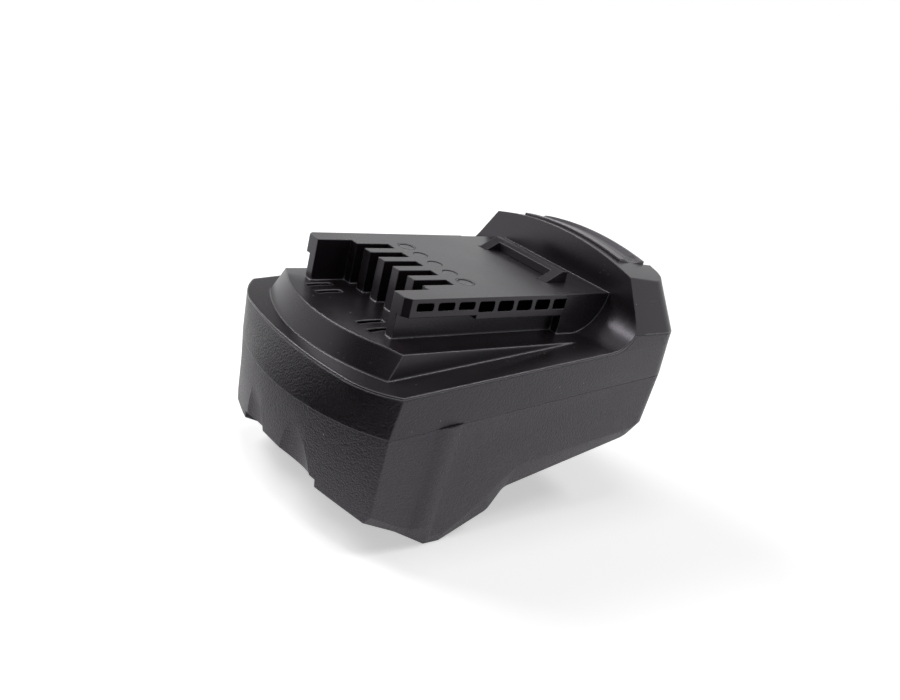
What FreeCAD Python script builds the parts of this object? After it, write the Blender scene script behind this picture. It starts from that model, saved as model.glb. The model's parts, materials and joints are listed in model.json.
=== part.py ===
"""A slide-on battery pack for cordless tools, built as named, separate pieces in millimetres.

The sizes are taken from the deck, the flat top between the two rails: x runs across the pack,
y runs from the face of the front legs towards the release button, and z is 0 on the deck.
Every piece is then placed so that the pack's box stands centred on the ground.
"""

import FreeCAD, Part
import functools
import math
import os
import re
import Sketcher
from FreeCAD import Placement, Rotation, Vector

doc = FreeCAD.newDocument("battery_pack")
sheet = doc.addObject("Spreadsheet::Sheet", "Sizes")
nodes = {}

# Driving sizes in millimetres; slopes are rise over run, and counts and turns are whole numbers
SIZES = {
    # The casing, measured down from the deck and from the face of the front legs
    "belly_depth": 76.4,
    "nose_reach": 20.5,
    "tail_reach": 108.3,
    "wall": 2.4,
    "parting_gap": 0.12,
    "case_slope": 0.104,
    "side_room": 11.4,
    "rim_front": 18.3,
    "rim_corner": 6.9,
    "rim_drop": 21.2,
    "rim_lip": 0.7,
    "bow_half": 28.0,
    "bow_sag": 2.5,
    "seam_step": 1.0,
    "seam_corner": 8.0,
    "seam_flare": 2.2,
    "seam_bow_sag": 4.7,
    "belt_depth": 12.8,
    "foot_step": 3.5,
    "foot_front": 14.4,
    "foot_corner": 6.4,
    "foot_flare": 1.7,
    "foot_drop": 45.0,
    "tail_sag": 3.0,
    "tail_corner": 7.5,
    # The head and the cove in front of it
    "head_place": 83.3,
    "head_lean": 0.7,
    "head_top": 12.4,
    "head_level": 8.0,
    "head_step": 10.3,
    "head_edge_top": 8.0,
    "head_fall": 0.075,
    "head_tail": 106.6,
    "cove_radius": 15.0,
    "cove_rim_radius": 11.0,
    # The plinth, the deck and its rails
    "shoulder_width": 9.8,
    "plinth_front": 13.6,
    "plinth_corner": 5.5,
    "plinth_draft": 0.6,
    "plinth_top_front": 10.8,
    "plinth_top_corner": 1.9,
    "plinth_drop": 13.5,
    "plinth_height": 7.6,
    "plinth_hip": 0.7,
    "leg_inner": 21.2,
    "leg_length": 12.5,
    "web_half": 24.4,
    "block_half": 27.5,
    "flange_half": 28.0,
    "flange_thin": 5.7,
    "flange_thick": 7.0,
    "flange_step": 26.8,
    "flange_length": 63.5,
    "lead_in": 1.7,
    "window_first": 3.7,
    "window_pitch": 7.755,
    "window_length": 6.1,
    "window_top": 1.35,
    "window_low": 2.5,
    "window_high": 3.4,
    "window_depth": 2.2,
    "window_count": 8,
    "low_windows": 3,
    # The connector
    "slot_count": 5,
    "slot_pitch": 7.87,
    "slot_width": 4.3,
    "slot_length": 12.0,
    "blade_gap": 1.8,
    "vent_length": 9.2,
    "vent_width": 2.0,
    "vent_inner": 11.8,
    "vent_outer": 17.7,
    "vent_ahead": 3.4,
    "disc_place": 30.5,
    "disc_radius": 2.5,
    "disc_wide": 3.1,
    "disc_depth": 0.25,
    "holder_front": 27.3,
    "holder_length": 14.4,
    "holder_half": 20.6,
    "holder_top": 2.7,
    "leaf_thick": 0.5,
    "leaf_length": 11.0,
    "leaf_height": 8.0,
    "leaf_low": 13.6,
    "contact_width": 3.4,
    # The latch
    "running_gap": 0.35,
    "latch_travel": 4.5,
    "catch_half": 17.2,
    "catch_arm": 3.8,
    "catch_front": 63.2,
    "catch_length": 9.4,
    "catch_bar": 3.9,
    "catch_sink": 0.9,
    "bracket_half": 18.5,
    "bracket_front": 61.6,
    "bracket_plate": 2.4,
    "bracket_web": 2.2,
    "bracket_drop": 2.8,
    "bracket_top": 7.4,
    "button_half": 24.0,
    "button_front": 88.0,
    "button_length": 12.9,
    "button_proud": 0.9,
    "button_skirt": 2.2,
    "button_low": 3.0,
    "button_band": 3.2,
    "grip_sink": 0.9,
    "grip_rear": 1.6,
    "notch_level": 4.0,
    "spring_radius": 2.3,
    "spring_wire": 0.6,
    "spring_turns": 5,
    "spring_half": 14.0,
    "seat_front": 89.4,
    "seat_length": 5.8,
    "seat_level": 5.4,
    "seat_thick": 1.6,
    # The cells and what holds them
    "cell_radius": 9.2,
    "cell_length": 65.2,
    "cell_cap": 3.2,
    "cell_ring": 0.3,
    "cell_columns": 5,
    "cell_pitch": 18.9,
    "row_slope": 0.2215,
    "last_cell": 89.5,
    "last_depth": 38.7,
    "carrier_width": 8.0,
    "carrier_rim": 0.4,
    "snug_gap": 0.1,
    "strip_thick": 0.25,
    "strip_width": 9.0,
    "sheet_thick": 0.3,
    "bar_width": 5.0,
    "tab_drop": 24.3,
    "board_half": 28.5,
    "board_front": 3.6,
    "board_length": 45.6,
    "board_drop": 17.2,
    "board_thick": 1.6,
    "board_edge": 3.2,
    "board_corner": 9.0,
    "board_chamfer": 4.2,
    "board_foot": 2.4,
    "board_screw": 1.0,
    "board_head": 1.9,
    "foam_half": 22.0,
    "foam_gap": 0.3,
    "thread_gap": 0.05,
    "head_height": 1.9,
    # The fasteners
    "bead_radius": 1.5,
    "bead_length": 8.0,
    "part_width": 6.0,
    "part_height": 2.0,
    "screw_radius": 1.25,
    "screw_head": 2.3,
    "screw_length": 16.0,
    "screw_seat": 11.0,
    "boss_radius": 3.4,
    "boss_room": 4.2,
    "front_boss": 1.5,
    "rear_boss": 91.5,
    # The lower housing's outside
    "ridge_front": 9.0,
    "ridge_length": 9.5,
    "ridge_height": 0.9,
    "bevel_low": 4.4,
    "bevel_high": 1.8,
    "belly_front": 17.5,
    "belly_length": 6.0,
    "nose_place": 4.8,
    "nose_depth": 69.4,
    "nose_slope": 0.43,
    "nose_lift": 4.2,
    "belly_lift": 7.4,
    "heel_place": 41.0,
    "heel_depth": 68.5,
    "heel_round": 4.0,
    "heel_lift": 12.0,
    "heel_sweep": 4.0,
    "rear_place": 45.8,
    "rear_depth": 60.9,
    "rear_lift": 10.8,
    "tail_place": 99.0,
    "tail_rise": 0.75,
    "tail_round": 10.0,
    "tail_lift": 5.2,
    "scoop_half": 22.0,
    "scoop_land": 5.3,
    "scoop_depth": 3.2,
    "scoop_level": 57.8,
    "scoop_height": 14.0,
    "scoop_back": 4.2,
}


def fill_sheet():
    """Each size is a cell with its word as alias; the values come back for the curved shells."""
    for row, (word, number) in enumerate(SIZES.items(), start=1):
        sheet.set("A%d" % row, word)
        sheet.set("B%d" % row, str(number))
        sheet.setAlias("B%d" % row, word)
    doc.recompute()
    return {word: float(sheet.get(word)) for word in SIZES}


class Size:
    """The sheet's values as attributes, so that a formula reads like its words."""

    def __init__(self, values):
        self.__dict__.update(values)


dim = Size(fill_sheet())
PLACE_Y = (dim.nose_reach - dim.tail_reach - dim.seam_flare) / 2
PLACE = Placement(Vector(0, PLACE_Y, dim.belly_depth), Rotation())


# Expressions and bound solids

def bound(text):
    """An expression whose words are cells of the sheet."""
    return re.sub(r"[a-z]+_[a-z_]+|\bwall\b", lambda word: "Sizes." + word.group(), str(text))


def place(solid, x, y, z):
    """Binds a solid's base point, given from the deck, in the pack's own frame."""
    solid.setExpression("Placement.Base.x", bound(x))
    solid.setExpression("Placement.Base.y", bound("%s + (nose_reach - tail_reach - seam_flare) / 2" % y))
    solid.setExpression("Placement.Base.z", bound("%s + belly_depth" % z))
    return solid


def box(name, x, y, z):
    """A box between two places along each axis."""
    solid = doc.addObject("Part::Box", name)
    for side, (low, high) in zip(("Length", "Width", "Height"), (x, y, z)):
        solid.setExpression(side, bound("(%s) - (%s)" % (high, low)))
    return place(solid, x[0], y[0], z[0])


def cylinder(name, radius, height, x, y, z, turn=None):
    """A cylinder that rises from its base point, or points along the turned axis."""
    solid = doc.addObject("Part::Cylinder", name)
    solid.Placement = Placement(Vector(), turn or Rotation())
    solid.setExpression("Radius", bound(radius))
    solid.setExpression("Height", bound(height))
    return place(solid, x, y, z)


ALONG_X = Rotation(Vector(0, 1, 0), 90)


def fuse(name, shapes):
    """Several solids joined into one."""
    result = doc.addObject("Part::MultiFuse", name)
    result.Shapes = shapes
    return result


def common(name, base, bounds):
    """What of the base lies inside the bounds."""
    result = doc.addObject("Part::Common", name)
    result.Base = base
    result.Tool = bounds
    return result


def group(name, shapes):
    """Solids that stand apart, kept together under one name."""
    result = doc.addObject("Part::Compound", name)
    result.Links = shapes
    return result


def cut(name, base, tools):
    """The base without its tools, which stand apart from each other."""
    result = doc.addObject("Part::Cut", name)
    result.Base = base
    result.Tool = tools[0] if len(tools) == 1 else group(name + "_tools", tools)
    return result


def formed(name, shape):
    """A curved form made from the sheet's values, set first and placed after."""
    solid = doc.addObject("Part::Feature", name)
    solid.Shape = shape
    solid.Placement = PLACE.multiply(shape.Placement)
    return solid


def node(name, solid):
    """Names a finished sub-part."""
    solid.Label = name
    nodes[name] = solid
    return solid


# Outlines and profiles of the curved shells

def rounded_wire(corners, lift):
    """Straight runs joined by tangent arcs; a corner is (u, v) or (u, v, radius)."""
    ends = []
    count = len(corners)
    for index, corner in enumerate(corners):
        here = lift(*corner[:2])
        radius = corner[2] if len(corner) > 2 else 0
        if radius == 0:
            ends.append((here, None, here))
            continue
        back = (lift(*corners[index - 1][:2]) - here).normalize()
        ahead = (lift(*corners[(index + 1) % count][:2]) - here).normalize()
        half = back.getAngle(ahead) / 2
        reach = radius / math.tan(half)
        middle = (back + ahead).normalize() * (radius / math.sin(half) - radius)
        ends.append((here + back * reach, here + middle, here + ahead * reach))
    edges = []
    for index, (start, middle, end) in enumerate(ends):
        if middle is not None:
            edges.append(Part.Arc(start, middle, end).toShape())
        following = ends[(index + 1) % count][0]
        if (following - end).Length > 1e-6:
            edges.append(Part.makeLine(end, following))
    return Part.Wire(edges)


def side_wire(corners, x):
    """A profile seen from the side, standing at one x."""
    return rounded_wire(corners, lambda y, z: Vector(x, y, z))


def across(sections):
    """A solid ruled across the pack through side profiles, each given with its x."""
    return Part.makeLoft([side_wire(corners, x) for x, corners in sections], True, True)


def mirrored(sections):
    """A solid through side profiles and their mirror images, given from the outermost inwards."""
    places = [(-x, corners) for x, corners in sections]
    return across(places + [(-x, corners) for x, corners in reversed(places)])


def arc(start, middle, end):
    """An arc edge through three points."""
    return Part.Arc(start, middle, end).toShape()


def outline(half, front, corner, bow_half, bow_sag, tail, rise, slope):
    """A casing outline in its sloping plane: a bowed nose, straight sides and a bowed tail."""
    def lift(x, y):
        return Vector(x, y, rise + slope * y)

    bow_radius = (bow_half ** 2 + bow_sag ** 2) / (2 * bow_sag)
    lean = math.asin(bow_half / bow_radius)
    run_x, run_y = half - bow_half, front - corner - bow_sag
    chord = math.hypot(run_x, run_y)
    turn = math.atan2(run_y, run_x) - lean
    bulge = chord / 2 * math.tan(turn / 2)
    middle_x = (half + bow_half) / 2 + bulge * run_y / chord
    middle_y = -(front - bow_sag + corner) / 2 - bulge * run_x / chord
    tail_corner = tail - dim.tail_sag - dim.tail_corner
    tail_flat = half - dim.tail_corner
    corner_turn = dim.tail_corner * (1 - math.sqrt(0.5))
    edges = [
        arc(lift(-bow_half, -front + bow_sag), lift(0, -front), lift(bow_half, -front + bow_sag)),
        arc(lift(bow_half, -front + bow_sag), lift(middle_x, middle_y), lift(half, -corner)),
        Part.makeLine(lift(half, -corner), lift(half, tail_corner)),
        arc(lift(half, tail_corner), lift(half - corner_turn, tail - dim.tail_sag - corner_turn),
            lift(tail_flat, tail - dim.tail_sag)),
        arc(lift(tail_flat, tail - dim.tail_sag), lift(0, tail), lift(-tail_flat, tail - dim.tail_sag)),
        arc(lift(-tail_flat, tail - dim.tail_sag),
            lift(-half + corner_turn, tail - dim.tail_sag - corner_turn), lift(-half, tail_corner)),
        Part.makeLine(lift(-half, tail_corner), lift(-half, -corner)),
        arc(lift(-half, -corner), lift(-middle_x, middle_y), lift(-bow_half, -front + bow_sag)),
    ]
    return Part.Wire(edges)


def rim_half():
    """Half the width at the rim: half a cell and what stands beside it."""
    return dim.cell_length / 2 + dim.side_room


def seam_half():
    """Half the width at the lower parting line."""
    return rim_half() - dim.seam_step


def foot_half():
    """Half the width low on the lower housing."""
    return rim_half() - dim.foot_step


def head_edge_half():
    """Half the width of the head's top."""
    return rim_half() - dim.head_step


def plinth_half():
    """Half the width of the plinth at its foot."""
    return rim_half() - dim.shoulder_width


def rim_outline(inset, rise):
    """The outline at the rim, moved in by the inset."""
    return outline(rim_half() - inset, dim.rim_front - inset, dim.rim_corner, dim.bow_half,
                   dim.bow_sag, dim.tail_reach - inset, rise, dim.case_slope)


def seam_outline(inset, rise):
    """The outline at the lower parting line, moved in by the inset."""
    return outline(seam_half() - inset, dim.nose_reach - inset, dim.seam_corner, dim.bow_half,
                   dim.seam_bow_sag, dim.tail_reach + dim.seam_flare - inset, rise, dim.case_slope)


def foot_outline(inset, rise):
    """The outline low on the lower housing, moved in by the inset."""
    return outline(foot_half() - inset, dim.foot_front - inset, dim.foot_corner, dim.bow_half,
                   dim.seam_bow_sag, dim.tail_reach + dim.foot_flare - inset, rise, dim.case_slope)


RIM = -dim.rim_drop - dim.rim_lip
SEAM = RIM - dim.belt_depth
FOOT = SEAM - dim.foot_drop
HIGH = 60.0


@functools.lru_cache(maxsize=None)
def upper_casing(inset):
    """The casing above the lower parting line, with upright sides above the rim."""
    rings = [seam_outline(inset, SEAM), rim_outline(inset, RIM), rim_outline(inset, RIM + HIGH)]
    return Part.makeLoft(rings, True, True)


def shoulder(y):
    """The height of the sloping shoulder at a place along the pack."""
    return dim.case_slope * y - dim.rim_drop


def parting_corners(gap):
    """The side profile of everything under the cover's parting line."""
    ahead, behind = -40.0, 140.0
    rise = -dim.rim_lip - gap
    step = dim.head_place - 0.6
    return [(ahead, shoulder(ahead) + rise), (step - 2.5, shoulder(step - 2.5) + rise, 9.8),
            (step, -dim.head_level - gap), (behind, -dim.head_level - gap),
            (behind, -100.0), (ahead, -100.0)]


def under_parting(gap):
    """What lies under the cover's parting line, across the pack."""
    return across([(-60.0, parting_corners(gap)), (60.0, parting_corners(gap))])


def cove_corners(inset, radius):
    """The side profile of the open space over the shoulder and in front of the head."""
    ahead = -40.0
    foot = dim.head_place + inset
    top = dim.head_place + dim.head_lean + inset
    return [(ahead, shoulder(ahead) - inset), (foot, shoulder(foot) - inset, radius + inset),
            (top, dim.head_top - inset), (top, HIGH), (ahead, HIGH)]


def cove(inset):
    """The open space, whose hollow corner is tighter at the rim than beside the deck."""
    return mirrored([(rim_half() + 1, cove_corners(inset, dim.cove_rim_radius)),
                     (dim.block_half, cove_corners(inset, dim.cove_radius))])


def arch_radius():
    """The radius of the head's arched top."""
    rise = dim.head_top - dim.head_edge_top
    return (head_edge_half() ** 2 + rise ** 2) / (2 * rise)


def arched_bar(half, lift, start, length):
    """A bar along the pack under the head's arch, raised by the lift, falling with the head."""
    def top(x):
        fall = dim.head_fall * (start - dim.head_place)
        return dim.head_top + lift - fall - (arch_radius() - math.sqrt(arch_radius() ** 2 - x ** 2))

    crown = arc(Vector(half, start, top(half)), Vector(0, start, top(0)), Vector(-half, start, top(half)))
    low = -HIGH
    sides = [Part.makeLine(Vector(-half, start, top(half)), Vector(-half, start, low)),
             Part.makeLine(Vector(-half, start, low), Vector(half, start, low)),
             Part.makeLine(Vector(half, start, low), Vector(half, start, top(half)))]
    face = Part.Face(Part.Wire([crown] + sides))
    return face.extrude(Vector(0, length, -dim.head_fall * length))


def head_ring(z, half, tail):
    """The head's outline at one height: straight sides and a bowed tail with rounded corners."""
    start, round_ = -60.0, dim.tail_corner
    flat, back = half - round_, tail - dim.tail_sag
    turn = round_ * (1 - math.sqrt(0.5))

    def spot(x, y):
        return Vector(x, y, z)

    return Part.Wire([
        Part.makeLine(spot(-half, start), spot(half, start)),
        Part.makeLine(spot(half, start), spot(half, back - round_)),
        arc(spot(half, back - round_), spot(half - turn, back - turn), spot(flat, back)),
        arc(spot(flat, back), spot(0, tail), spot(-flat, back)),
        arc(spot(-flat, back), spot(turn - half, back - turn), spot(-half, back - round_)),
        Part.makeLine(spot(-half, back - round_), spot(-half, start))])


def head_section(inset):
    """What lies under the arched top, between the leaning sides and before the leaning tail."""
    lean_rise = dim.head_level + dim.head_edge_top
    slant = math.hypot(dim.head_step, lean_rise) / lean_rise
    tail_slope = (dim.tail_reach - dim.head_tail) / (dim.head_level + dim.head_top)
    over = dim.head_top + dim.head_level

    def half_at(z):
        return head_edge_half() + dim.head_step * (dim.head_edge_top - z) / lean_rise - inset * slant

    def tail_at(z):
        return dim.head_tail + tail_slope * (dim.head_top - z) - inset

    leaning = Part.makeLoft([head_ring(-HIGH, half_at(-HIGH), tail_at(-HIGH) + HIGH / 2),
                             head_ring(-dim.head_level, half_at(-dim.head_level), tail_at(-dim.head_level)),
                             head_ring(over, half_at(over), tail_at(over))], True, True)
    return arched_bar(rim_half() * 2, -inset, -60.0, 220.0).common(leaning)


def plinth(inset, low):
    """The step round the deck, with its drafted nose and its faintly hipped top."""
    def level(z):
        share = (-dim.plinth_drop - dim.plinth_hip - z) / (dim.plinth_height - dim.plinth_hip)
        half = plinth_half() + dim.plinth_draft * (share - 1) - inset
        front = dim.plinth_top_front + (dim.plinth_front - dim.plinth_top_front) * share - inset
        corner = dim.plinth_top_corner + (dim.plinth_corner - dim.plinth_top_corner) * share - inset
        back = dim.head_place + dim.wall + 2
        return Part.Wire([
            arc(Vector(half, -corner, z), Vector(0, -front, z), Vector(-half, -corner, z)),
            Part.makeLine(Vector(-half, -corner, z), Vector(-half, back, z)),
            Part.makeLine(Vector(-half, back, z), Vector(half, back, z)),
            Part.makeLine(Vector(half, back, z), Vector(half, -corner, z))])

    top = -dim.plinth_drop - inset
    body = Part.makeLoft([level(low), level(top)], True, True)
    edge = top - dim.plinth_hip
    hip_x = plinth_half() - dim.plinth_draft
    hip_y = -dim.plinth_top_front
    reach = 3.0
    roof = [(hip_x * reach, -HIGH), (hip_x * reach, edge - dim.plinth_hip * hip_x * (reach - 1) / (
        hip_x - dim.web_half)), (dim.web_half, top), (-dim.web_half, top),
        (-hip_x * reach, edge - dim.plinth_hip * hip_x * (reach - 1) / (hip_x - dim.web_half)),
        (-hip_x * reach, -HIGH)]
    across_roof = Part.Face(rounded_wire(roof, lambda x, z: Vector(x, -60, z))).extrude(Vector(0, 200, 0))
    nose = [(hip_y * reach, -HIGH), (hip_y * reach, top - dim.plinth_hip * reach), (0, top),
            (140, top), (140, -HIGH)]
    return body.common(across_roof).common(across([(-60, nose), (60, nose)]))


def deck_blocks(prefix):
    """The deck, its legs and the block behind the flanges, as bound boxes."""
    low = "-plinth_drop - wall / 2"
    return [
        box(prefix + "_deck", ("-web_half", "web_half"), ("leg_length", "head_place + wall"), (low, "0")),
        box(prefix + "_left_leg", ("-web_half", "-leg_inner"), ("0", "leg_length + wall"), (low, "0")),
        box(prefix + "_right_leg", ("leg_inner", "web_half"), ("0", "leg_length + wall"), (low, "0")),
        box(prefix + "_block", ("-block_half", "block_half"), ("flange_length", "head_place + wall"),
            (low, "0")),
    ]


def flange(side, sign):
    """One rail flange with its lead-in, its step and its row of windows."""
    name = side + "_flange"
    thin = "-flange_thin"
    thick = "-flange_thick"
    inner = "web_half - wall / 2"
    x = (inner, "flange_half") if sign > 0 else ("-flange_half", "-(%s)" % inner)
    front = box(name + "_front", x, ("0", "flange_step"), (thin, "0"))
    rear = box(name + "_rear", x, ("flange_step", "flange_length"), (thick, "0"))
    tools = []
    pocket = ("flange_half - window_depth", "flange_half + wall")
    pocket = pocket if sign > 0 else ("-flange_half - wall", "-flange_half + window_depth")
    for index in range(int(dim.window_count)):
        start = "window_first + %d * window_pitch" % index
        high = "window_low" if index < dim.low_windows else "window_high"
        window = box("%s_window_%d" % (name, index), pocket, (start, start + " + window_length"),
                     ("-window_top - " + high, "-window_top"))
        rounded = doc.addObject("Part::Fillet", "%s_window_round_%d" % (name, index))
        rounded.Base = window
        doc.recompute()
        rounded.Edges = [(number + 1, 0.7, 0.7) for number, edge in enumerate(window.Shape.Edges)
                         if abs(edge.tangentAt(edge.FirstParameter).x) > 0.9]
        tools.append(rounded)
    corner = formed(name + "_lead_in", lead_in(sign))
    whole = fuse(name + "_solid", [front, rear])
    return cut(name, whole, tools + [corner])


def lead_in(sign):
    """The small slanting corner that is cut from a flange's front end."""
    inner, reach = dim.flange_half - dim.lead_in, dim.lead_in
    points = [Vector(sign * inner, 0, 0), Vector(sign * (inner + 2 * reach), reach * 2, 0),
              Vector(sign * (inner + 2 * reach), -reach, 0), Vector(sign * inner, -reach, 0)]
    face = Part.Face(Part.makePolygon(points + [points[0]]))
    face.translate(Vector(0, 0, dim.wall))
    return face.extrude(Vector(0, 0, -dim.plinth_drop))


# The top cover

def slot_middle(index):
    """The x of one connector slot, as an expression."""
    return "(%d - (slot_count - 1) / 2) * slot_pitch" % index


def slot_tools():
    """The five connector slots and the blade gap behind each."""
    tools = []
    for index in range(int(dim.slot_count)):
        middle = slot_middle(index)
        slot = box("slot_%d" % index, (middle + " - slot_width / 2", middle + " + slot_width / 2"),
                   ("leg_length - wall", "leg_length + slot_length"), ("-plinth_drop", "wall"))
        blade = box("blade_slot_%d" % index,
                    (middle + " - blade_gap / 2", middle + " + blade_gap / 2"),
                    ("leg_length + slot_length - wall", "leg_length + slot_length + 2 * wall"),
                    ("-plinth_drop + wall", "-wall"))
        tools.append(fuse("slot_tool_%d" % index, [slot, blade]))
    return tools


def disc_tools():
    """The row of shallow round marks behind the slots, the outer two wider."""
    tools = []
    last = int(dim.slot_count) - 1
    for index in range(last + 1):
        middle = slot_middle(index)
        radius = "disc_wide" if index in (0, last) else "disc_radius"
        outer = cylinder("disc_%d" % index, radius, "wall", middle, "disc_place", "-disc_depth")
        inner = cylinder("disc_core_%d" % index, radius + " - disc_depth", "2 * wall", middle,
                         "disc_place", "-wall")
        tools.append(cut("disc_ring_%d" % index, outer, [inner]))
    return tools


def vent_tools():
    """The two pairs of thin slots on the plinth in front of the connector."""
    tools = []
    for index, word in enumerate(("-vent_outer", "-vent_inner", "vent_inner", "vent_outer")):
        tools.append(box("vent_%d" % index, (word + " - vent_width / 2", word + " + vent_width / 2"),
                         ("-vent_ahead", "-vent_ahead + vent_length"),
                         ("-plinth_drop - 2 * wall", "-plinth_drop + wall")))
    return tools


def catch_tools():
    """The U-shaped opening in the deck that the catch moves through."""
    rear = "catch_front + catch_length + running_gap"
    edge = "catch_half + running_gap"
    arm = "catch_half - catch_arm - running_gap"
    whole = box("catch_gap", ("-(%s)" % edge, edge), ("catch_front - running_gap", rear),
                ("-2 * wall", "wall"))
    tongue = box("catch_tongue", ("-(%s)" % arm, arm),
                 ("catch_front - wall", "catch_front + catch_length - catch_bar - running_gap"),
                 ("-3 * wall", "2 * wall"))
    return cut("catch_way", whole, [tongue])


def boss_places():
    """The four screw places, each as a name with its x and y."""
    return [("front_left", "-(cell_length / 2 + boss_room)", "-front_boss"), ("front_right", "cell_length / 2 + boss_room", "-front_boss"),
            ("rear_left", "-(cell_length / 2 + boss_room)", "rear_boss"), ("rear_right", "cell_length / 2 + boss_room", "rear_boss")]


def seam_height(y):
    """The lower parting line's height at a place, as an expression."""
    return "(case_slope * (%s) - rim_drop - rim_lip - belt_depth)" % y


def top_cover():
    """The rails, the deck, the plinth, the shoulder and the head in one shell."""
    low = -dim.rim_drop - dim.wall
    whole = room(0).fuse(plinth(0, low))
    nested = whole.common(upper_casing(dim.wall + dim.snug_gap))
    outside = whole.cut(under_parting(0)).fuse(nested)
    hollow = room(dim.wall).fuse(plinth(dim.wall, low - 30))
    outer = formed("cover_outside", outside)
    solids = [outer] + deck_blocks("cover") + [flange("left", -1), flange("right", 1)]
    body = fuse("cover_body", solids)
    deck_hollow = box("deck_hollow", ("-web_half + wall", "web_half - wall"),
                      ("leg_length + slot_length + wall", "head_place + 2 * wall"),
                      ("-plinth_drop - 2 * wall", "-wall"))
    inner = formed("cover_hollow", hollow)
    notch = box("button_notch", ("-button_half - running_gap", "button_half + running_gap"),
                ("button_front - running_gap", "tail_reach + wall"), ("notch_level", "head_top + 3 * wall"))
    opened = cut("cover_open", cut("cover_skin", body, [inner]), [deck_hollow])
    tools = [notch, catch_tools()] + slot_tools() + disc_tools() + vent_tools()
    shell = cut("cover_shell", opened, tools)
    posts = []
    for name, x, y in boss_places():
        bottom = seam_height(y) + " + snug_gap"
        top = "head_top" if name.startswith("rear") else "case_slope * (%s) - rim_drop" % y
        posts.append(cylinder("cover_boss_" + name, "boss_radius", "(%s) - (%s)" % (top, bottom),
                              x, y, bottom))
    kept = common("cover_bosses", group("cover_posts", posts), formed("cover_bounds", room(dim.wall / 2)))
    pilots = [cylinder("cover_pilot_" + name, "screw_radius + thread_gap",
                       "screw_length - screw_seat + snug_gap", x, y, seam_height(y))
              for name, x, y in boss_places()]
    feet = []
    for name, x, y in board_places():
        feet.append(cylinder("board_foot_" + name, "board_foot", "board_drop - plinth_drop - wall / 2",
                             x, y, "-board_drop"))
        pilots.append(cylinder("board_pilot_" + name, "board_screw + thread_gap",
                               "board_drop - plinth_drop - wall / 2", x, y, "-board_drop"))
    whole = fuse("cover_whole", [shell, kept] + feet)
    return node("top_cover", cut("top_cover", whole, pilots))


def board_places():
    """The four feet that the control board is screwed to, each as a name with its x and y."""
    rear = "board_length - board_front - board_edge"
    front = "board_chamfer + board_edge / 2 - board_front"
    return [("front_left", "board_edge - board_half", front),
            ("front_right", "board_half - board_edge", front),
            ("rear_left", "board_edge - board_half", rear), ("rear_right", "board_half - board_edge", rear)]


def middle_housing():
    """The belt between the cover and the lower housing."""
    gap = dim.parting_gap
    ring = upper_casing(0).cut(upper_casing(dim.wall))
    ring = ring.common(under_parting(gap)).common(head_section(0))
    base = formed("belt_ring", ring)
    tools = [cylinder("belt_clear_" + name, "boss_radius + snug_gap", "4 * belt_depth", x, y,
                      seam_height(y) + " - belt_depth") for name, x, y in boss_places()]
    return node("middle_housing", cut("middle_housing", base, tools))


# The lower housing

def moved_in(corners, inset):
    """A closed profile with every side moved inwards, and its rounded corners to match."""
    count = len(corners)
    points = [Vector(corner[0], corner[1], 0) for corner in corners]
    area = sum(a.x * b.y - b.x * a.y for a, b in zip(points, points[1:] + points[:1]))
    turn = 1 if area > 0 else -1
    moved = []
    for index, corner in enumerate(corners):
        here = points[index]
        before = (here - points[index - 1]).normalize()
        after = (points[(index + 1) % count] - here).normalize()
        bend = turn * (before.x * after.y - before.y * after.x)
        side = (Vector(-before.y, before.x, 0) + Vector(-after.y, after.x, 0)) * turn
        there = here + side * (inset / (1 + before.dot(after)))
        radius = corner[2] if len(corner) > 2 else 0
        if radius:
            radius = max(radius - inset, 0.4) if bend > 0 else radius + inset
        moved.append((there.x, there.y, radius))
    return moved


def bottom_corners(at_bevel):
    """The side profile of the pack's underside, in the middle or at the top of its side bevel."""
    lift = 1 if at_bevel else 0
    sweep = dim.heel_sweep * lift
    ahead, behind = -40.0, 125.0

    def rear_level(y):
        return -dim.rear_depth + dim.row_slope * (y - dim.rear_place)

    nose = -dim.nose_depth + dim.nose_lift * lift
    tail = rear_level(dim.tail_place) + dim.tail_lift * lift
    return [
        (ahead, nose + dim.nose_slope * (dim.nose_place - ahead)),
        (dim.nose_place, nose, 30.0),
        (dim.belly_front, -dim.belly_depth + dim.belly_lift * lift),
        (dim.belly_front + dim.belly_length, -dim.belly_depth + dim.belly_lift * lift),
        (dim.heel_place - sweep, -dim.heel_depth + dim.heel_lift * lift, dim.heel_round),
        (dim.rear_place + sweep / 2, rear_level(dim.rear_place) + dim.rear_lift * lift, dim.heel_round),
        (dim.tail_place, tail, dim.tail_round),
        (behind, tail + dim.tail_rise * (behind - dim.tail_place)),
        (behind, HIGH),
        (ahead, HIGH),
    ]


def underside(inset):
    """All that lies above the pack's underside, with its bevelled sides."""
    bevel = moved_in(bottom_corners(True), inset)
    return mirrored([(rim_half() + 16, bevel), (rim_half() - dim.bevel_high - inset, bevel),
                     (rim_half() - dim.bevel_low - inset, moved_in(bottom_corners(False), inset))])


def ridge(sign):
    """The soft upright ridge on one side."""
    def section(half, rise):
        def lift(x, y):
            return Vector(sign * x, y, rise + dim.case_slope * y)

        front, back = dim.ridge_front, dim.ridge_front + dim.ridge_length
        top = (front + back) / 2 + dim.ridge_height
        return Part.Wire([
            arc(lift(half, front), lift(half + dim.ridge_height, top), lift(half, back)),
            Part.makeLine(lift(half, back), lift(half - dim.wall / 2, back)),
            Part.makeLine(lift(half - dim.wall / 2, back), lift(half - dim.wall / 2, front)),
            Part.makeLine(lift(half - dim.wall / 2, front), lift(half, front))])

    return Part.makeLoft([section(foot_half(), FOOT), section(seam_half(), SEAM)], True, True)


def ridges():
    """Both ridges together."""
    return Part.makeCompound([ridge(-1), ridge(1)])


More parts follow.
